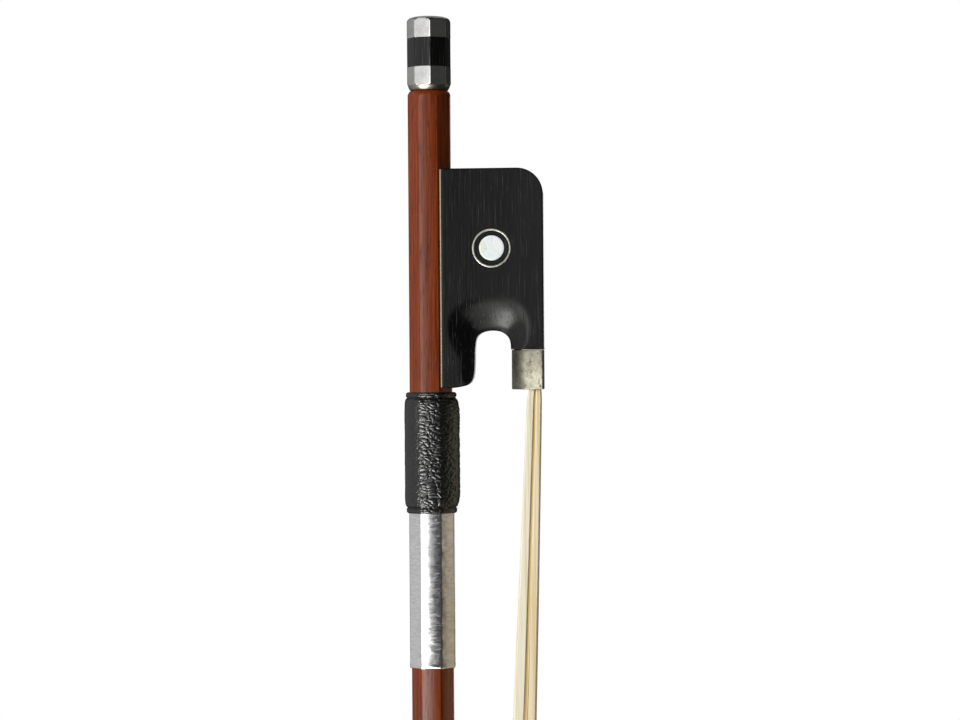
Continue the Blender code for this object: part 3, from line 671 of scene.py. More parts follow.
def bend(obj):
    """Stores the straight coordinates as the grain's, then bends the stick to its camber."""
    mesh = obj.data
    straight = np.zeros(len(mesh.vertices) * 3, np.float32)
    mesh.vertices.foreach_get("co", straight)
    grain = mesh.attributes.new("grain", "FLOAT_VECTOR", "POINT")
    grain.data.foreach_set("vector", straight)
    p = straight.reshape(-1, 3).astype(float)
    length = BEND_Z * MM - p[:, 2]
    along = np.clip(length, 0.0, BEND_LENGTH * MM)
    lean = BEND_PER_METRE * along
    x = (np.cos(lean) - 1) / BEND_PER_METRE
    z = BEND_Z * MM - np.sin(lean) / BEND_PER_METRE
    over = length - along
    p[:, 2] = z - over * np.cos(lean) - p[:, 0] * np.sin(lean)
    p[:, 0] = x - over * np.sin(lean) + p[:, 0] * np.cos(lean)
    mesh.vertices.foreach_set("co", p.astype(np.float32).ravel())
    mesh.update()
    return obj


def make_stick():
    obj = skin("stick_wood", stick_rings())
    head = skin("head", [head_ring(*level) for level in head_levels()])
    join(obj, head, rod(TENON_R, STICK_END_Z - 1.0, TENON_END_Z))
    base = BEND_Z - BEND_LENGTH
    cut(
        obj,
        box((13.0, -2.6, base - 11.4), (22.0, 2.6, base - 3.6)),
        box((-2.7, -2.5, 35.0), (6.0, 2.5, 52.0)),
        rod(1.6, 24.0, 90.0),
        rod(1.25, 8.0, 25.0),
    )
    bend(obj)
    shade(obj, 15.0)
    dress(obj, LOOKS["pernambuco"], "stick", "pernambuco", "stick")


def head_plate(name, low, high, grow_low, grow_high, look, node):
    def ring(v, grow):
        return head_ring(v, -3.0 - 0.1 * grow, 22.3 + grow, 5.15 + 0.2 * grow, 0.77)

    rings = [ring(low, grow_low), ring(high - 0.12, grow_high), ring(high, grow_high - 0.14)]
    obj = skin(name, rings)
    base = BEND_Z - BEND_LENGTH
    cut(obj, box((low - 1.0, -3.2, base - 11.5), (high + 1.0, 3.2, base - 3.4)))
    bend(obj)
    shade(obj, 30.0)
    dress(obj, LOOKS[look], "stick", look, node)


# Frog


def cheek(x):
    return FROG_HALF + (x - FROG_INNER_X) * CHEEK_SLOPE


# Thumb projection and throat, x and z in millimetres, from the stick side to the ferrule
THROAT = (
    (2.6, 13.9), (4.6, 13.8), (6.2, 13.96), (7.55, 14.25), (8.5, 14.8), (9.05, 15.7), (9.35, 17.0),
    (9.48, 19.5), (9.55, 21.8), (9.75, 23.7), (10.15, 24.75), (11.1, 25.5), (12.2, 25.85),
    (13.5, 25.95), (14.85, 25.75), (15.9, 25.25), (16.8, 24.35), (17.15, 23.3), (17.25, 21.9),
)


def even_line(points, spacing):
    """The same line with points this far apart."""
    p = np.array(points, float)
    walked = np.concatenate([[0.0], np.cumsum(np.linalg.norm(np.diff(p, axis=0), axis=1))])
    count = max(1, round(walked[-1] / spacing))
    at = np.linspace(0.0, walked[-1], count + 1)
    return np.stack([np.interp(at, walked, p[:, k]) for k in range(2)], axis=1)


def frog_outline(spacing=0.22):
    throat = even_line(curve_through(THROAT, 8), spacing)
    turns = [math.pi / 2 * i / 24 for i in range(25)]
    heel = [
        (FROG_OUTER_X - HEEL_ROUND * (1 - math.cos(t)), FROG_HIGH_Z - HEEL_ROUND * (1 - math.sin(t)))
        for t in turns
    ]
    parts = [
        throat,
        even_line([THROAT[-1], (FROG_OUTER_X, FRONT_Z)], spacing),
        even_line([(FROG_OUTER_X, FRONT_Z), heel[0]], 0.6),
        even_line(heel, 0.3),
        even_line([heel[-1], (FROG_INNER_X, FROG_HIGH_Z)], 0.6),
        even_line([(FROG_INNER_X, FROG_HIGH_Z), THROAT[0]], 0.6),
    ]
    return np.concatenate([part[:-1] for part in parts])


def inward(outline, offset):
    """The outline moved into the frog, corners mitred. The outline runs with the frog to its left."""
    before = np.roll(outline, 1, axis=0)
    after = np.roll(outline, -1, axis=0)

    def left(a, b):
        d = b - a
        d = d / np.linalg.norm(d, axis=1)[:, None]
        return np.stack([-d[:, 1], d[:, 0]], axis=1)

    n0, n1 = left(before, outline), left(outline, after)
    mid = n0 + n1
    mid /= np.linalg.norm(mid, axis=1)[:, None]
    stretch = 1.0 / np.clip(np.sum(mid * n0, axis=1), 0.5, 1.0)
    return outline + mid * (offset * stretch)[:, None]


def line_distance(points, line):
    """Distance from each point to a line of straight pieces."""
    best = np.full(len(points), 1e9)
    for a, b in zip(line[:-1], line[1:]):
        d = b - a
        t = np.clip(((points - a) @ d) / (d @ d), 0.0, 1.0)
        away = np.linalg.norm(points - (a + t[:, None] * d), axis=1)
        best = np.minimum(best, away)
    return best


def throat_loss(points):
    """How far the cheek is hollowed round the throat: deep and wide above its arch, slight beside it.

    The hollow runs out flat near the arch's own edge.
    """
    arch = even_line(curve_through(THROAT[6:], 6), 0.3)
    away = line_distance(points, arch)
    side = np.degrees(np.arctan2(points[:, 0] - 13.7, np.maximum(points[:, 1] - 20.0, 0.01)))
    above = 0.5 + 0.5 * np.cos(np.radians(np.clip((np.abs(side + 9.0) - 22.0) * 2.5, 0.0, 180.0)))
    reach = 2.6 + 5.3 * above
    depth = 0.45 + 1.25 * above
    share = np.clip((away - 0.5) / (reach - 0.5), 0.0, 1.0) ** 0.7
    return depth * (1 - share * share * (3 - 2 * share))


def frog_half(points, outline):
    ring = np.concatenate([outline, outline[:1]])
    edge = line_distance(points, ring)
    r = 0.22
    inside = np.clip(r - edge, 0.0, r)
    rounding = r - np.sqrt(np.maximum(r * r - inside * inside, 0.0))
    half = FROG_HALF + (points[:, 0] - FROG_INNER_X) * CHEEK_SLOPE
    return half - rounding - throat_loss(points)


def inside_outline(points, outline):
    hit = np.zeros(len(points), bool)
    for a, b in zip(outline, np.roll(outline, -1, axis=0)):
        crosses = (a[1] > points[:, 1]) != (b[1] > points[:, 1])
        if not crosses.any():
            continue
        x = a[0] + (points[:, 1] - a[1]) / (b[1] - a[1] + 1e-12) * (b[0] - a[0])
        hit ^= crosses & (points[:, 0] < x)
    return hit


def frog_solid():
    outline = frog_outline()
    count = len(outline)
    layers = [outline] + [inward(outline, d) for d in (0.05, 0.15, 0.28, 0.45)]
    step = 0.62
    grid = [
        (2.6 + step * (i + 0.5 * (j % 2)), 13.0 + step * 0.87 * j)
        for j in range(90)
        for i in range(37)
    ]
    grid = np.array(grid)
    ring = np.concatenate([outline, outline[:1]])
    keep = inside_outline(grid, outline) & (line_distance(grid, ring) > 0.85)
    points = np.concatenate(layers + [grid[keep]])
    edges = []
    for layer in range(len(layers)):
        low = layer * count
        edges += [(low + i, low + (i + 1) % count) for i in range(count)]
    made = delaunay_2d_cdt([Vector(p) for p in points], edges, [], 0, 1e-5)
    flat = np.array([tuple(p) for p in made[0]])
    triangles = [tuple(face) for face in made[2]]
    middle = np.array([flat[list(t)].mean(axis=0) for t in triangles])
    keep = inside_outline(middle, outline)
    triangles = [t for t, k in zip(triangles, keep) if k]
    half = frog_half(flat, outline)
    near = [(x, -w, z) for (x, z), w in zip(flat, half)]
    far = [(x, w, z) for (x, z), w in zip(flat, half)]
    size = len(flat)
    faces = triangles + [tuple(size + i for i in reversed(t)) for t in triangles]
    used = {}
    for a, b, c in triangles:
        for pair in ((a, b), (b, c), (c, a)):
            key = tuple(sorted(pair))
            used[key] = None if key in used else pair
    rim = [pair for pair in used.values() if pair]
    faces += [(b, a, size + a, size + b) for a, b in rim]
    return mesh_object("frog_ebony", [Vector(p) * MM for p in near + far], faces)


def slide_prism(back, front, low, high, grow):
    """The dovetail in the frog's hair side."""
    def half(x):
        return 5.1 - (x - 22.85) * 0.38 + grow

    outline = [(back, half(back)), (front, half(front)), (front, -half(front)), (back, -half(back))]
    return skin("slide", [[(x, y, z) for x, y in outline] for z in (low, high)])


def channel_prism(offset):
    """The stick and its underslide, cut out of the frog."""
    flat = STICK_FLATS / 2 + offset
    edge = math.sqrt(2) * flat
    outline = [(0.0, edge), (flat, edge - flat), (flat, flat - edge), (0.0, -edge)]
    return skin("channel", [[(x, y, z) for x, y in outline] for z in (10.0, 64.0)])


def cheek_matrix(x, z, side):
    face = Matrix.Translation((x * MM, side * cheek(x) * MM, z * MM))
    lean = math.atan(CHEEK_SLOPE)
    return face @ Matrix.Rotation(-side * math.pi / 2, 4, "X") @ Matrix.Rotation(-lean, 4, "Y")


def across(radius, x0, x1, z):
    turned = Matrix.Translation((0.0, 0.0, z * MM)) @ Matrix.Rotation(math.pi / 2, 4, "Y")
    return moved(rod(radius, x0, x1, 32), turned)


def ferrule_arc(inset, first_x, steps=48):
    """The ferrule's round, from one side at first_x to the other. Its sides lean out a little."""
    half, depth = 6.27 - inset, 4.2 - inset
    start = math.asin(max(-1.0, min(1.0, (21.5 - first_x) / depth)))
    turns = [start + (math.pi - 2 * start) * i / steps for i in range(steps + 1)]
    return [(21.5 - depth * math.sin(t), half * math.cos(t)) for t in turns]


def make_frog():
    obj = frog_solid()
    tongue = skin("tongue", [[(x, y, z) for x, y in ferrule_arc(0.47, 19.4)] for z in (14.0, 23.4)])
    join(obj, tongue)
    cutters = [
        channel_prism(0.66),
        slide_prism(22.8, 26.0, 18.9, 54.47, 0.02),
        box((20.9, -5.2, 20.0), (23.0, 5.2, 37.0)),
        box((16.6, -4.7, 30.9), (23.0, 4.7, 42.6)),
        across(1.5, 4.0, 11.3, 40.0),
        across(0.7, 4.0, 8.1, 19.5),
        across(0.7, 4.0, 8.1, 55.0),
    ]
    for side in (-1, 1):
        at = cheek_matrix(*EYE, side)
        cutters.append(moved(tube(3.63, 4.22, -0.95, 1.0), at))
        cutters.append(moved(rod(2.67, -0.95, 1.0, 96), at))
    cut(obj, *cutters)
    shade(obj, 24.0)
    dress(obj, LOOKS["ebony"], "frog", "ebony", "frog_block")


def make_ferrule():
    def ring(inset, z):
        arc = ferrule_arc(inset, 21.09, 72)
        flat, side, r = 24.2 - inset, 6.7 - inset, 0.5 - 0.4 * inset
        turns = [math.pi / 2 * i / 8 for i in range(9)]
        low = [(flat - r * (1 - math.sin(t)), -side + r * (1 - math.cos(t))) for t in turns]
        low = [(x, y + 0.148 * (24.2 - x)) for x, y in low]
        return [(x, y, z) for x, y in arc + low + [(x, -y) for x, y in reversed(low)]]

    low, high, wall = 13.4, 21.82, 0.45
    lip = 0.14
    turns = [math.pi / 2 * i / 4 for i in range(5)]
    rings = [ring(wall, low + 0.1)]
    rings += [ring(lip * (1 - math.sin(t)), low + lip * (1 - math.cos(t))) for t in turns]
    rings += [ring(lip * (1 - math.cos(t)), high - lip * (1 - math.sin(t))) for t in turns]
    rings += [ring(wall, high - 0.05)]
    obj = shade(skin("ferrule_silver", rings, closed=True), 40.0)
    dress(obj, LOOKS["ferrule_silver"], "frog", "nickel_silver", "ferrule")


def make_underslide():
    """The thin plate in the frog's channel. Its slanting edges show as a pale line."""
    near, far = 0.25, 0.65
    inner, outer = STICK_FLATS / 2 + near, STICK_FLATS / 2 + far
    half = [
        (2.30, math.sqrt(2) * inner - 2.30),
        (2.62, math.sqrt(2) * outer - 2.62),
        (outer, math.sqrt(2) * outer - outer),
    ]
    back = [(inner, math.sqrt(2) * inner - inner)]
    outline = half + [(x, -y) for x, y in reversed(half)] + [(x, -y) for x, y in back] + back
    obj = skin("underslide_plate", [[(x, y, z) for x, y in outline] for z in (13.95, 60.22)])
    cut(obj, across(1.7, 3.0, 7.0, 40.0), across(0.9, 3.0, 7.0, 19.5), across(0.9, 3.0, 7.0, 55.0))
    dress(shade(obj, 20.0), LOOKS["pale_gold"], "frog", "brass", "underslide")


EYE_RING = (
    (3.68, -0.9), (3.68, -0.05), (3.71, 0.0), (3.78, 0.03), (4.07, 0.03), (4.14, 0.0),
    (4.17, -0.05), (4.17, -0.9),
)


def make_eye_rings():
    for side, word in ((-1, "near"), (1, "far")):
        rings = [circle(r, z, 96) for r, z in EYE_RING]
        obj = moved(skin(f"eye_circle_{word}", rings, closed=True), cheek_matrix(*EYE, side))
        dress(shade(obj, 40.0), LOOKS["ring_silver"], "frog", "nickel_silver", f"eye_ring_{word}")


# Button


def turned_piece(name, flats, profile, look, slot, node, round_arris=0.24):
    """An eight-sided piece with lathe-turned ends: profile is (z, radius limit)."""
    rings = [facet_ring(flats, z, BUTTON_TURN, round_arris, 0.012, limit) for z, limit in profile]
    obj = shade(skin(name, rings), 24.0)
    return dress(obj, LOOKS[look], "button", slot, node)


def make_button():
    collar = ((77.12, 2.4), (77.12, 3.75), (77.2, 3.88), (77.45, 4.1), (77.75, 4.29), (78.05, 4.42))
    collar += ((78.35, 4.5), (78.4, 4.5), (78.4, 2.4))
    rings = [circle(r, z, 96) for z, r in collar]
    obj = shade(skin("button_shoulder", rings), 35.0)
    dress(obj, LOOKS["shoulder_silver"], "button", "nickel_silver", "button_collar")
    free = 9.0
    front = [(78.38, 3.4), (78.38, 4.5), (78.45, 4.56), (78.6, 4.63), (78.8, 4.7), (79.0, 4.78)]
    front += [(79.1, free), (80.5, free), (82.2, free), (82.24, 4.64), (82.27, 4.58), (82.27, 3.0)]
    turned_piece("button_ring_front", BUTTON_FLATS, front, "nickel_silver", "nickel_silver", "button_front_ring")
    core = [(82.25, 3.0), (82.28, 4.6), (82.33, free), (85.0, free), (88.4, free), (88.45, 4.6), (88.47, 3.0)]
    turned_piece("button_middle", BUTTON_FLATS - 0.05, core, "button_ebony", "ebony", "button_core")
    cap = [(88.46, 3.0), (88.46, 4.58), (88.49, 4.64), (88.53, free), (90.0, free), (91.9, free)]
    cap += [(92.05, 4.68), (92.3, 4.56), (92.5, 4.42), (92.68, 4.22), (92.84, 3.9), (92.96, 3.5)]
    cap += [(93.05, 2.9), (93.12, 1.9), (93.15, 0.9)]
    turned_piece("button_cap", BUTTON_FLATS, cap, "nickel_silver", "nickel_silver", "button_rear_cap")


# Leather and lapping


def pebble(point):
    """Height of the leather's grain here, 0 in a crease and 1 on a pebble."""
    p = Vector((point.x / 1.35, point.y / 1.35, point.z / 0.78))
    p += 0.7 * noise.noise_vector(p * 0.6)
    distances, _ = noise.voronoi(p)
    edge = min(1.0, max(0.0, (distances[1] - distances[0]) / 0.55))
    return edge * (2 - edge)


LEATHER_LOSS = (
    (0.0, 1.5), (0.08, 1.05), (0.22, 0.8), (0.45, 0.66), (0.75, 0.62), (0.95, 0.7), (1.08, 0.95),
    (1.16, 1.1), (1.25, 0.98), (1.4, 0.6), (1.7, 0.3), (2.2, 0.1), (3.0, 0.0),
)


def make_leather():
    steps_around, rows = 340, 290
    half = 12.9
    rings = [facet_like(8.3, -half + 0.02, steps_around, 0.6)]
    for i in range(rows + 1):
        z = -half + 2 * half * i / rows
        loss = table_value(LEATHER_LOSS, half - abs(z))
        ring = []
        fade = min(1.0, max(0.0, (half - abs(z)) / 0.5))
        seam = 0.36 * min(1.0, max(0.0, (half - abs(z) - 1.3) / 2.5))
        for p in facet_like(11.5 - loss, z, steps_around, 0.6):
            out = Vector((p.x, p.y, 0.0)).normalized()
            toward_x_share = min(1.0, max(0.0, (out.x + 0.64) / 0.27))
            depth = 0.15 * fade * (0.2 + 0.8 * toward_x_share)
            swell = 0.05 * noise.noise(p * 0.35) + depth * (pebble(p) - 1.0)
            swell += seam * max(0.0, out.x) ** 2
            ring.append(p + out * swell)
        rings.append(ring)
    rings.append(facet_like(8.3, half - 0.02, steps_around, 0.6))
    obj = shade(skin("leather_sleeve", rings), 80.0)
    dress(obj, LOOKS["leather"], "stick", "leather", "thumb_leather")


def facet_like(flats, z, steps, share):
    """An octagon ring softened towards a circle."""
    ring = []
    for i in range(steps):
        angle = 2 * math.pi * i / steps
        off = (angle + math.pi / 8) % (math.pi / 4) - math.pi / 8
        radius = flats / 2 * (share + (1 - share) / math.cos(off))
        ring.append(Vector((radius * math.cos(angle), radius * math.sin(angle), z)))
    return ring


# Rounding of the lapping's eight arrises
LAPPING_ROUNDS = (0.7, 0.7, 0.7, 0.8, 1.0, 0.35, 0.8, 0.7)


def make_lapping():
    top, low = -12.8, -45.9
    profile = [(top, -0.9), (top - 0.02, 0.0)]
    steps = 150
    even = [i / 20 for i in range(21)]
    profile += [(top + (low + 1.5 - top) * i / steps, 0.0) for i in range(1, steps + 1)]
    profile += [(low + 1.1, 0.03), (low + 0.8, 0.09), (low + 0.5, 0.10), (low + 0.25, 0.06)]
    profile += [(low + 0.1, -0.06), (low + 0.02, -0.25), (low, -0.5), (low + 0.1, -0.9)]
    rings = []
    for z, extra in profile:
        ring = []
        sway = 0.35 * noise.noise((0.0, 0.3, z * 2.9)) + 0.2 * noise.noise((3.0, 0.3, z * 0.5))
        for p in facet_ring(9.58 + extra, z, 0.0, LAPPING_ROUNDS, 0.02, None, (0.0235, 0.50 + sway), even):
            out = Vector((p.x, p.y, 0.0)).normalized()
            dent = 0.018 * noise.noise(Vector((p.x * 0.5, p.y * 0.5, z * 0.9)))
            ring.append(p + out * dent)
        rings.append(ring)
    obj = shade(skin("lapping_sleeve", rings), 50.0)
    dress(obj, LOOKS["lapping_metal"], "stick", "lapping_metal", "metal_lapping")


# Hair: z, inner x, outer x and half width in the frog, then the head's path, millimetres
HAIR_IN_FROG = (
    (21.3, 21.35, 22.7, 5.1),
    (19.0, 21.35, 23.4, 5.3),
    (14.1, 21.3, 23.45, 5.45),
    (12.9, 20.9, 23.52, 5.5),
    (11.0, 20.5, 23.6, 5.5),
)
HAIR_IN_HEAD = (
    (-3.6, 22.62, -3.6, 23.95, 3.3),
    (0.5, 22.64, 0.5, 23.95, 3.15),
    (2.9, 22.64, 3.2, 23.8, 2.9),
    (3.75, 22.45, 4.6, 23.3, 2.75),
    (3.95, 21.9, 5.15, 22.2, 2.6),
    (3.95, 17.5, 5.15, 17.5, 1.75),
)
HAIR_SLACK = 22.0


def head_matrix():
    lean = BEND_PER_METRE * BEND_LENGTH * MM
    x = (math.cos(lean) - 1) / BEND_PER_METRE
    z = BEND_Z * MM - math.sin(lean) / BEND_PER_METRE
    u = Vector((-math.sin(lean), 0.0, -math.cos(lean)))
    v = Vector((math.cos(lean), 0.0, -math.sin(lean)))
    rows = zip(u, Vector((0.0, 1.0, 0.0)), v)
    return Matrix.Translation((x, 0.0, z)) @ Matrix([list(row) for row in rows]).to_4x4()


def hair_sections():
    """Along the hair: inner point and outer point of its middle plane, and half its width."""
    sections = [((i, z), (o, z), half) for z, i, o, half in HAIR_IN_FROG]
    turn = head_matrix()
    in_head = []
    for u0, v0, u1, v1, half in HAIR_IN_HEAD:
        a = turn @ Vector((u0 * MM, 0.0, v0 * MM)) / MM
        b = turn @ Vector((u1 * MM, 0.0, v1 * MM)) / MM
        in_head.append(((a.x, a.z), (b.x, b.z), half))
    (z0, inner0, outer0, half0) = HAIR_IN_FROG[-1]
    (inner1, outer1, half1) = in_head[0]
    steps = 30
    for i in range(1, steps):
        s = i / steps
        inner = inner0 + (inner1[0] - inner0) * s
        outer = outer0 + (outer1[0] - outer0) * s + HAIR_SLACK * s * (1 - s)
        half = half0 + (half1 - half0) * s**1.5
        inner_z = z0 + (inner1[1] - z0) * s
        outer_z = z0 + (outer1[1] - z0) * s
        sections.append(((inner, inner_z), (outer, outer_z), half))
    return sections + in_head


def strand_places(count):
    """Places across the hair: share from the inner to the outer edge, share of the width, tone."""
    picked = random.Random(11)
    places = []
    for i in range(count):
        across_share = picked.random()
        width = picked.uniform(-1.0, 1.0)
        left = picked.random() < 0.52
        if left:
            share, tone = 0.53 * across_share, picked.uniform(0.55, 1.0)
        else:
            share, tone = 0.62 + 0.38 * across_share, picked.uniform(0.34, 0.8)
        if picked.random() < 0.08:
            tone = picked.uniform(0.15, 0.35)
        places.append((share, width, tone))
    # Strands in the gap between the bundles, given the lowest tones: painted shade.
    for i in range(14):
        places.append((0.53 + 0.09 * picked.random(), picked.uniform(-0.5, 0.9), picked.uniform(0.0, 0.1)))
    return places


# The dense inside of each bundle, and of the gap between: shares of the depth, half width, tone. The gap's tone
# 0 is painted shade.
HAIR_CORES = ((0.03, 0.51, -0.13, 0.75), (0.635, 0.985, -0.12, 0.50), (0.4, 0.8, -0.4, 0.0))
CORE_SQUARE = 1.33


def hair_core(sections, low, high, less, tone, points, faces, tones):
    base = len(points)
    steps = 48
    for inner, outer, half in sections:
        for j in range(steps):
            a = 2 * math.pi * j / steps
            c = max(-1.0, min(1.0, CORE_SQUARE * math.cos(a)))
            s = max(-1.0, min(1.0, CORE_SQUARE * math.sin(a)))
            across_share = (low + high) / 2 + (high - low) / 2 * c
            y = (half + less) * s
            x = inner[0] + (outer[0] - inner[0]) * across_share
            z = inner[1] + (outer[1] - inner[1]) * across_share
            points.append((x, y, z))
            tones.append(tone)
    for k in range(len(sections) - 1):
        for j in range(steps):
            a, b = base + k * steps, base + (k + 1) * steps
            n = (j + 1) % steps
            faces.append((a + j, a + n, b + n, b + j))
    faces.append(tuple(base + j for j in range(steps)))
    faces.append(tuple(len(points) - steps + j for j in range(steps)))


def make_hair():
    sections = hair_sections()
    sides = 5
    points, faces, tones = [], [], []
    for core in HAIR_CORES:
        hair_core(sections, *core, points, faces, tones)
    picked = random.Random(5)
    total = len(sections)
    for share, width, tone in strand_places(250):
        wave = [picked.uniform(-1.0, 1.0) for _ in range(4)]
        radius = picked.uniform(0.075, 0.105)
        base = len(points)
        for k, (inner, outer, half) in enumerate(sections):
            along = max(0.0, min(1.0, (k - 4) / (total - 10)))
            free = math.sin(math.pi * along)
            drift = 0.03 * free * (wave[0] * math.sin(5 * along) + wave[1] * math.sin(11 * along + wave[2]))
            narrow = 0.06 * along * (1 if share < 0.58 else -1) if k > 4 else 0.0
            s = min(0.985, max(0.015, share + drift + narrow * (1 - free)))
            if k > 4 and share < 0.53:
                s = s * (1 - 0.12 * min(1.0, along * 8))
            elif k > 4 and share > 0.62:
                s = 1 - (1 - s) * (1 + 0.18 * min(1.0, along * 8))
                s = max(0.015, min(0.985, s))
            x = inner[0] + (outer[0] - inner[0]) * s
            z = inner[1] + (outer[1] - inner[1]) * s
            y = width * (half - 0.12) + 0.15 * free * wave[3] * math.sin(7 * along + wave[2])
            for j in range(sides):
                a = 2 * math.pi * j / sides + wave[2]
                points.append((x + radius * math.cos(a), y + radius * math.sin(a), z))
                tones.append(tone)
        for k in range(total - 1):
            low, high = base + k * sides, base + (k + 1) * sides
            for j in range(sides):
                n = (j + 1) % sides
                faces.append((low + j, low + n, high + n, high + j))
        faces.append(tuple(base + j for j in range(sides)))
        faces.append(tuple(base + (total - 1) * sides + j for j in range(sides)))
    obj = mesh_object("hair_strands", [Vector(p) * MM for p in points], faces)
    strand = obj.data.attributes.new("strand", "FLOAT", "POINT")
    strand.data.foreach_set("value", np.array(tones, np.float32))
    shade(obj, 80.0)
    obj.data.materials.append(LOOKS["horsehair"])
    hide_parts("hair_ribbon")
    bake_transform(obj)


# Studio


def make_camera():
    data = bpy.data.cameras.new("camera")
    data.lens = CAMERA_LENS
    data.sensor_width = 36.0
    data.clip_start = 0.01
    data.clip_end = 50.0
    camera = bpy.data.objects.new("camera", data)
    bpy.context.scene.collection.objects.link(camera)
    turn = math.radians(CAMERA_AZIMUTH)
    back = Vector((math.sin(turn), -math.cos(turn), 0.0))
    camera.location = Vector(CAMERA_TARGET) + back * CAMERA_AWAY
    camera.rotation_mode = "QUATERNION"
    level = (-back).to_track_quat("-Z", "Y")
    camera.rotation_quaternion = level @ Quaternion((0.0, 0.0, 1.0), math.radians(CAMERA_ROLL))
    bpy.context.scene.camera = camera


# Soft areas of the studio: direction, where each one's edge starts and ends as a cosine, and colour
SOFT_AREAS = (
    ((-0.62, -0.78, 0.02), 0.80, 0.95, (0.88, 0.88, 0.89)),
    ((-0.367, -0.930, 0.0), 0.976, 0.9976, (4.2, 4.2, 4.2)),
    ((-1.00, 0.00, 0.00), 0.45, 0.95, (0.52, 0.52, 0.53)),
    ((0.00, 1.00, 0.00), 0.97, 0.995, (1.0, 1.0, 1.0)),
    ((-0.455, -0.67, -0.59), 0.935, 0.985, (20.0, 19.8, 19.2)),
    ((-0.10, -0.83, -0.55), 0.930, 0.985, (3.0, 3.0, 2.9)),
    ((-0.38, -0.86, -0.34), 0.940, 0.985, (3.6, 3.6, 3.5)),
    ((0.91, 0.42, 0.00), 0.93, 0.985, (0.30, 0.27, 0.22)),
    ((0.60, -0.80, 0.00), 0.80, 0.95, (0.04, 0.04, 0.04)),
    ((0.00, 0.60, 0.80), 0.75, 0.95, (0.35, 0.35, 0.35)),
)
SOFT_BASE = (0.03, 0.03, 0.03)
SOFT_SHARE_DIFFUSE = 0.22


def make_world():
    world = bpy.data.worlds.new("studio")
    bpy.context.scene.world = world
    world.use_nodes = True
    tree = world.node_tree
    tree.nodes.clear()

    def new(kind, **settings):
        node = tree.nodes.new(kind)
        for key, value in settings.items():
            setattr(node, key, value)
        return node

    heading = new("ShaderNodeTexCoord").outputs["Generated"]
    total = None
    for towards, low, high, colour in SOFT_AREAS:
        dot = new("ShaderNodeVectorMath", operation="DOT_PRODUCT")
        tree.links.new(heading, dot.inputs[0])
        dot.inputs[1].default_value = Vector(towards).normalized()
        soft = new("ShaderNodeMapRange", interpolation_type="SMOOTHSTEP")
        soft.inputs["From Min"].default_value = low
        soft.inputs["From Max"].default_value = high
        tree.links.new(dot.outputs["Value"], soft.inputs["Value"])
        scale = new("ShaderNodeVectorMath", operation="SCALE")
        scale.inputs[0].default_value = colour
        tree.links.new(soft.outputs["Result"], scale.inputs["Scale"])
        add = new("ShaderNodeVectorMath", operation="ADD")
        tree.links.new(scale.outputs["Vector"], add.inputs[0])
        if total is None:
            add.inputs[1].default_value = SOFT_BASE
        else:
            tree.links.new(total, add.inputs[1])
        total = add.outputs["Vector"]
    path = new("ShaderNodeLightPath")
    share = new("ShaderNodeMapRange")
    share.inputs["To Min"].default_value = 1.0
    share.inputs["To Max"].default_value = SOFT_SHARE_DIFFUSE
    tree.links.new(path.outputs["Is Diffuse Ray"], share.inputs["Value"])
    lit = new("ShaderNodeVectorMath", operation="SCALE")
    tree.links.new(total, lit.inputs[0])
    tree.links.new(share.outputs["Result"], lit.inputs["Scale"])
    shown = new("ShaderNodeMix", data_type="RGBA")
    shown.inputs[7].default_value = (1.0, 1.0, 1.0, 1.0)
    tree.links.new(path.outputs["Is Camera Ray"], shown.inputs[0])
    tree.links.new(lit.outputs["Vector"], shown.inputs[6])
    surface = new("ShaderNodeBackground")
    tree.links.new(shown.outputs[2], surface.inputs["Color"])
    output = new("ShaderNodeOutputWorld")
    tree.links.new(surface.outputs["Background"], output.inputs["Surface"])


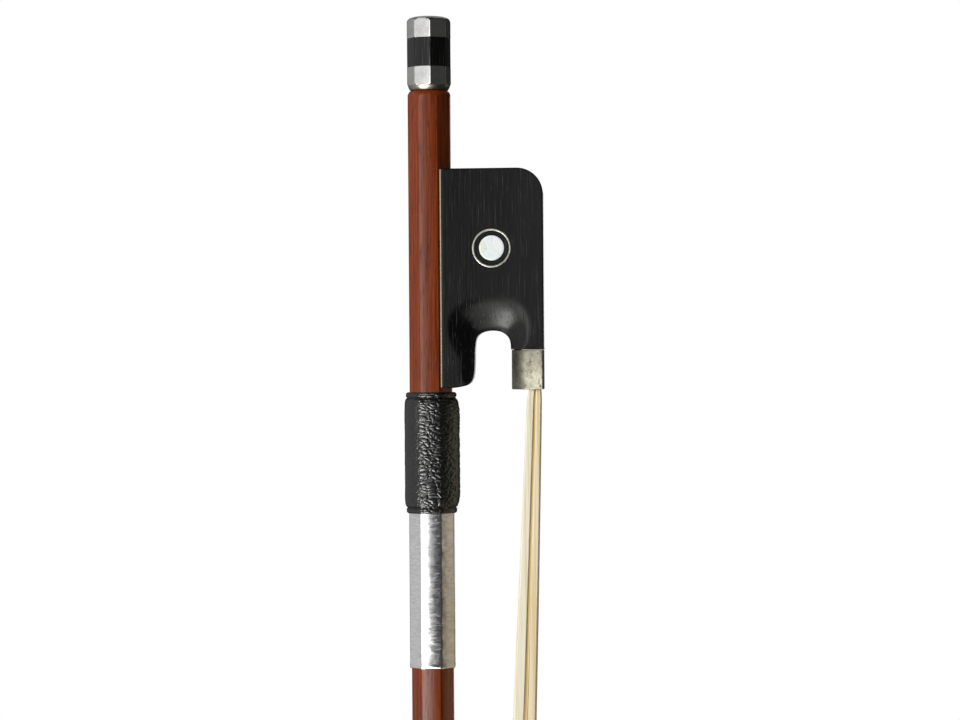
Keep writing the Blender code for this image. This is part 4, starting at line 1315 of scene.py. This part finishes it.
def make_floor():
    """A round pale floor under the head, fading to white for the camera."""
    rings = [circle(r, -664.0, 96) for r in (1.0, 300.0, 800.0, 1500.0, 2600.0)]
    obj = skin("floor", rings + [circle(2600.0, -674.0, 96)])
    look = Look("floor")
    spot = look.new("ShaderNodeVectorMath", operation="LENGTH")
    look.link(look.at, spot.inputs[0])
    fade = look.span(spot.outputs["Value"], 0.75, 1.9)
    path = look.new("ShaderNodeLightPath")
    glow = look.new("ShaderNodeEmission")
    mixed = look.new("ShaderNodeMixShader")
    look.link(look.math("MULTIPLY", fade, path.outputs["Is Camera Ray"]), mixed.inputs["Fac"])
    look.link(look.shader.outputs["BSDF"], mixed.inputs[1])
    look.link(glow.outputs["Emission"], mixed.inputs[2])
    output = next(n for n in look.tree.nodes if n.type == "OUTPUT_MATERIAL")
    look.link(mixed.outputs["Shader"], output.inputs["Surface"])
    tone = look.noise((9.0, 9.0, 9.0), 3.0, 0.5)
    colour = look.ramp(tone, (0.3, (0.86, 0.86, 0.85)), (0.7, (0.90, 0.90, 0.89)))
    look.use(colour, look.span(tone, 0.3, 0.7, 0.75, 0.9))
    obj.data.materials.append(look.mat)
    obj.visible_glossy = False
    obj.visible_diffuse = False


def make_lamp(name, place, aim, size, power):
    data = bpy.data.lights.new(name, "AREA")
    data.shape = "RECTANGLE"
    data.size, data.size_y = size
    data.energy = power
    lamp = bpy.data.objects.new(name, data)
    bpy.context.scene.collection.objects.link(lamp)
    lamp.location = place
    lamp.rotation_mode = "QUATERNION"
    lamp.rotation_quaternion = (Vector(aim) - Vector(place)).to_track_quat("-Z", "Y")
    lamp.visible_camera = False
    lamp.visible_glossy = False


def make_studio():
    scene = bpy.context.scene
    scene.view_settings.view_transform = "Standard"
    make_world()
    make_floor()
    make_lamp("key", (-1.52, -1.72, 0.4), (0.0, 0.0, -0.1), (1.3, 1.6), 66.0)
    make_lamp("rear_right", (1.75, 1.75, 0.3), (0.0, 0.0, -0.2), (1.2, 1.6), 58.0)
    make_lamp("rear_left", (-1.4, 1.8, 0.3), (0.0, 0.0, -0.2), (1.0, 1.6), 16.0)


def main():
    make_camera()
    dress_kept_nodes()
    make_stick()
    head_plate("head_liner", 20.6, 21.27, 0.0, 0.2, "ebony", "head_plate_liner")
    head_plate("head_face_plate", 21.25, 22.3, 0.25, 0.8, "bone", "head_plate")
    make_frog()
    make_ferrule()
    make_underslide()
    make_eye_rings()
    make_button()
    make_leather()
    make_lapping()
    make_hair()
    make_studio()


main()
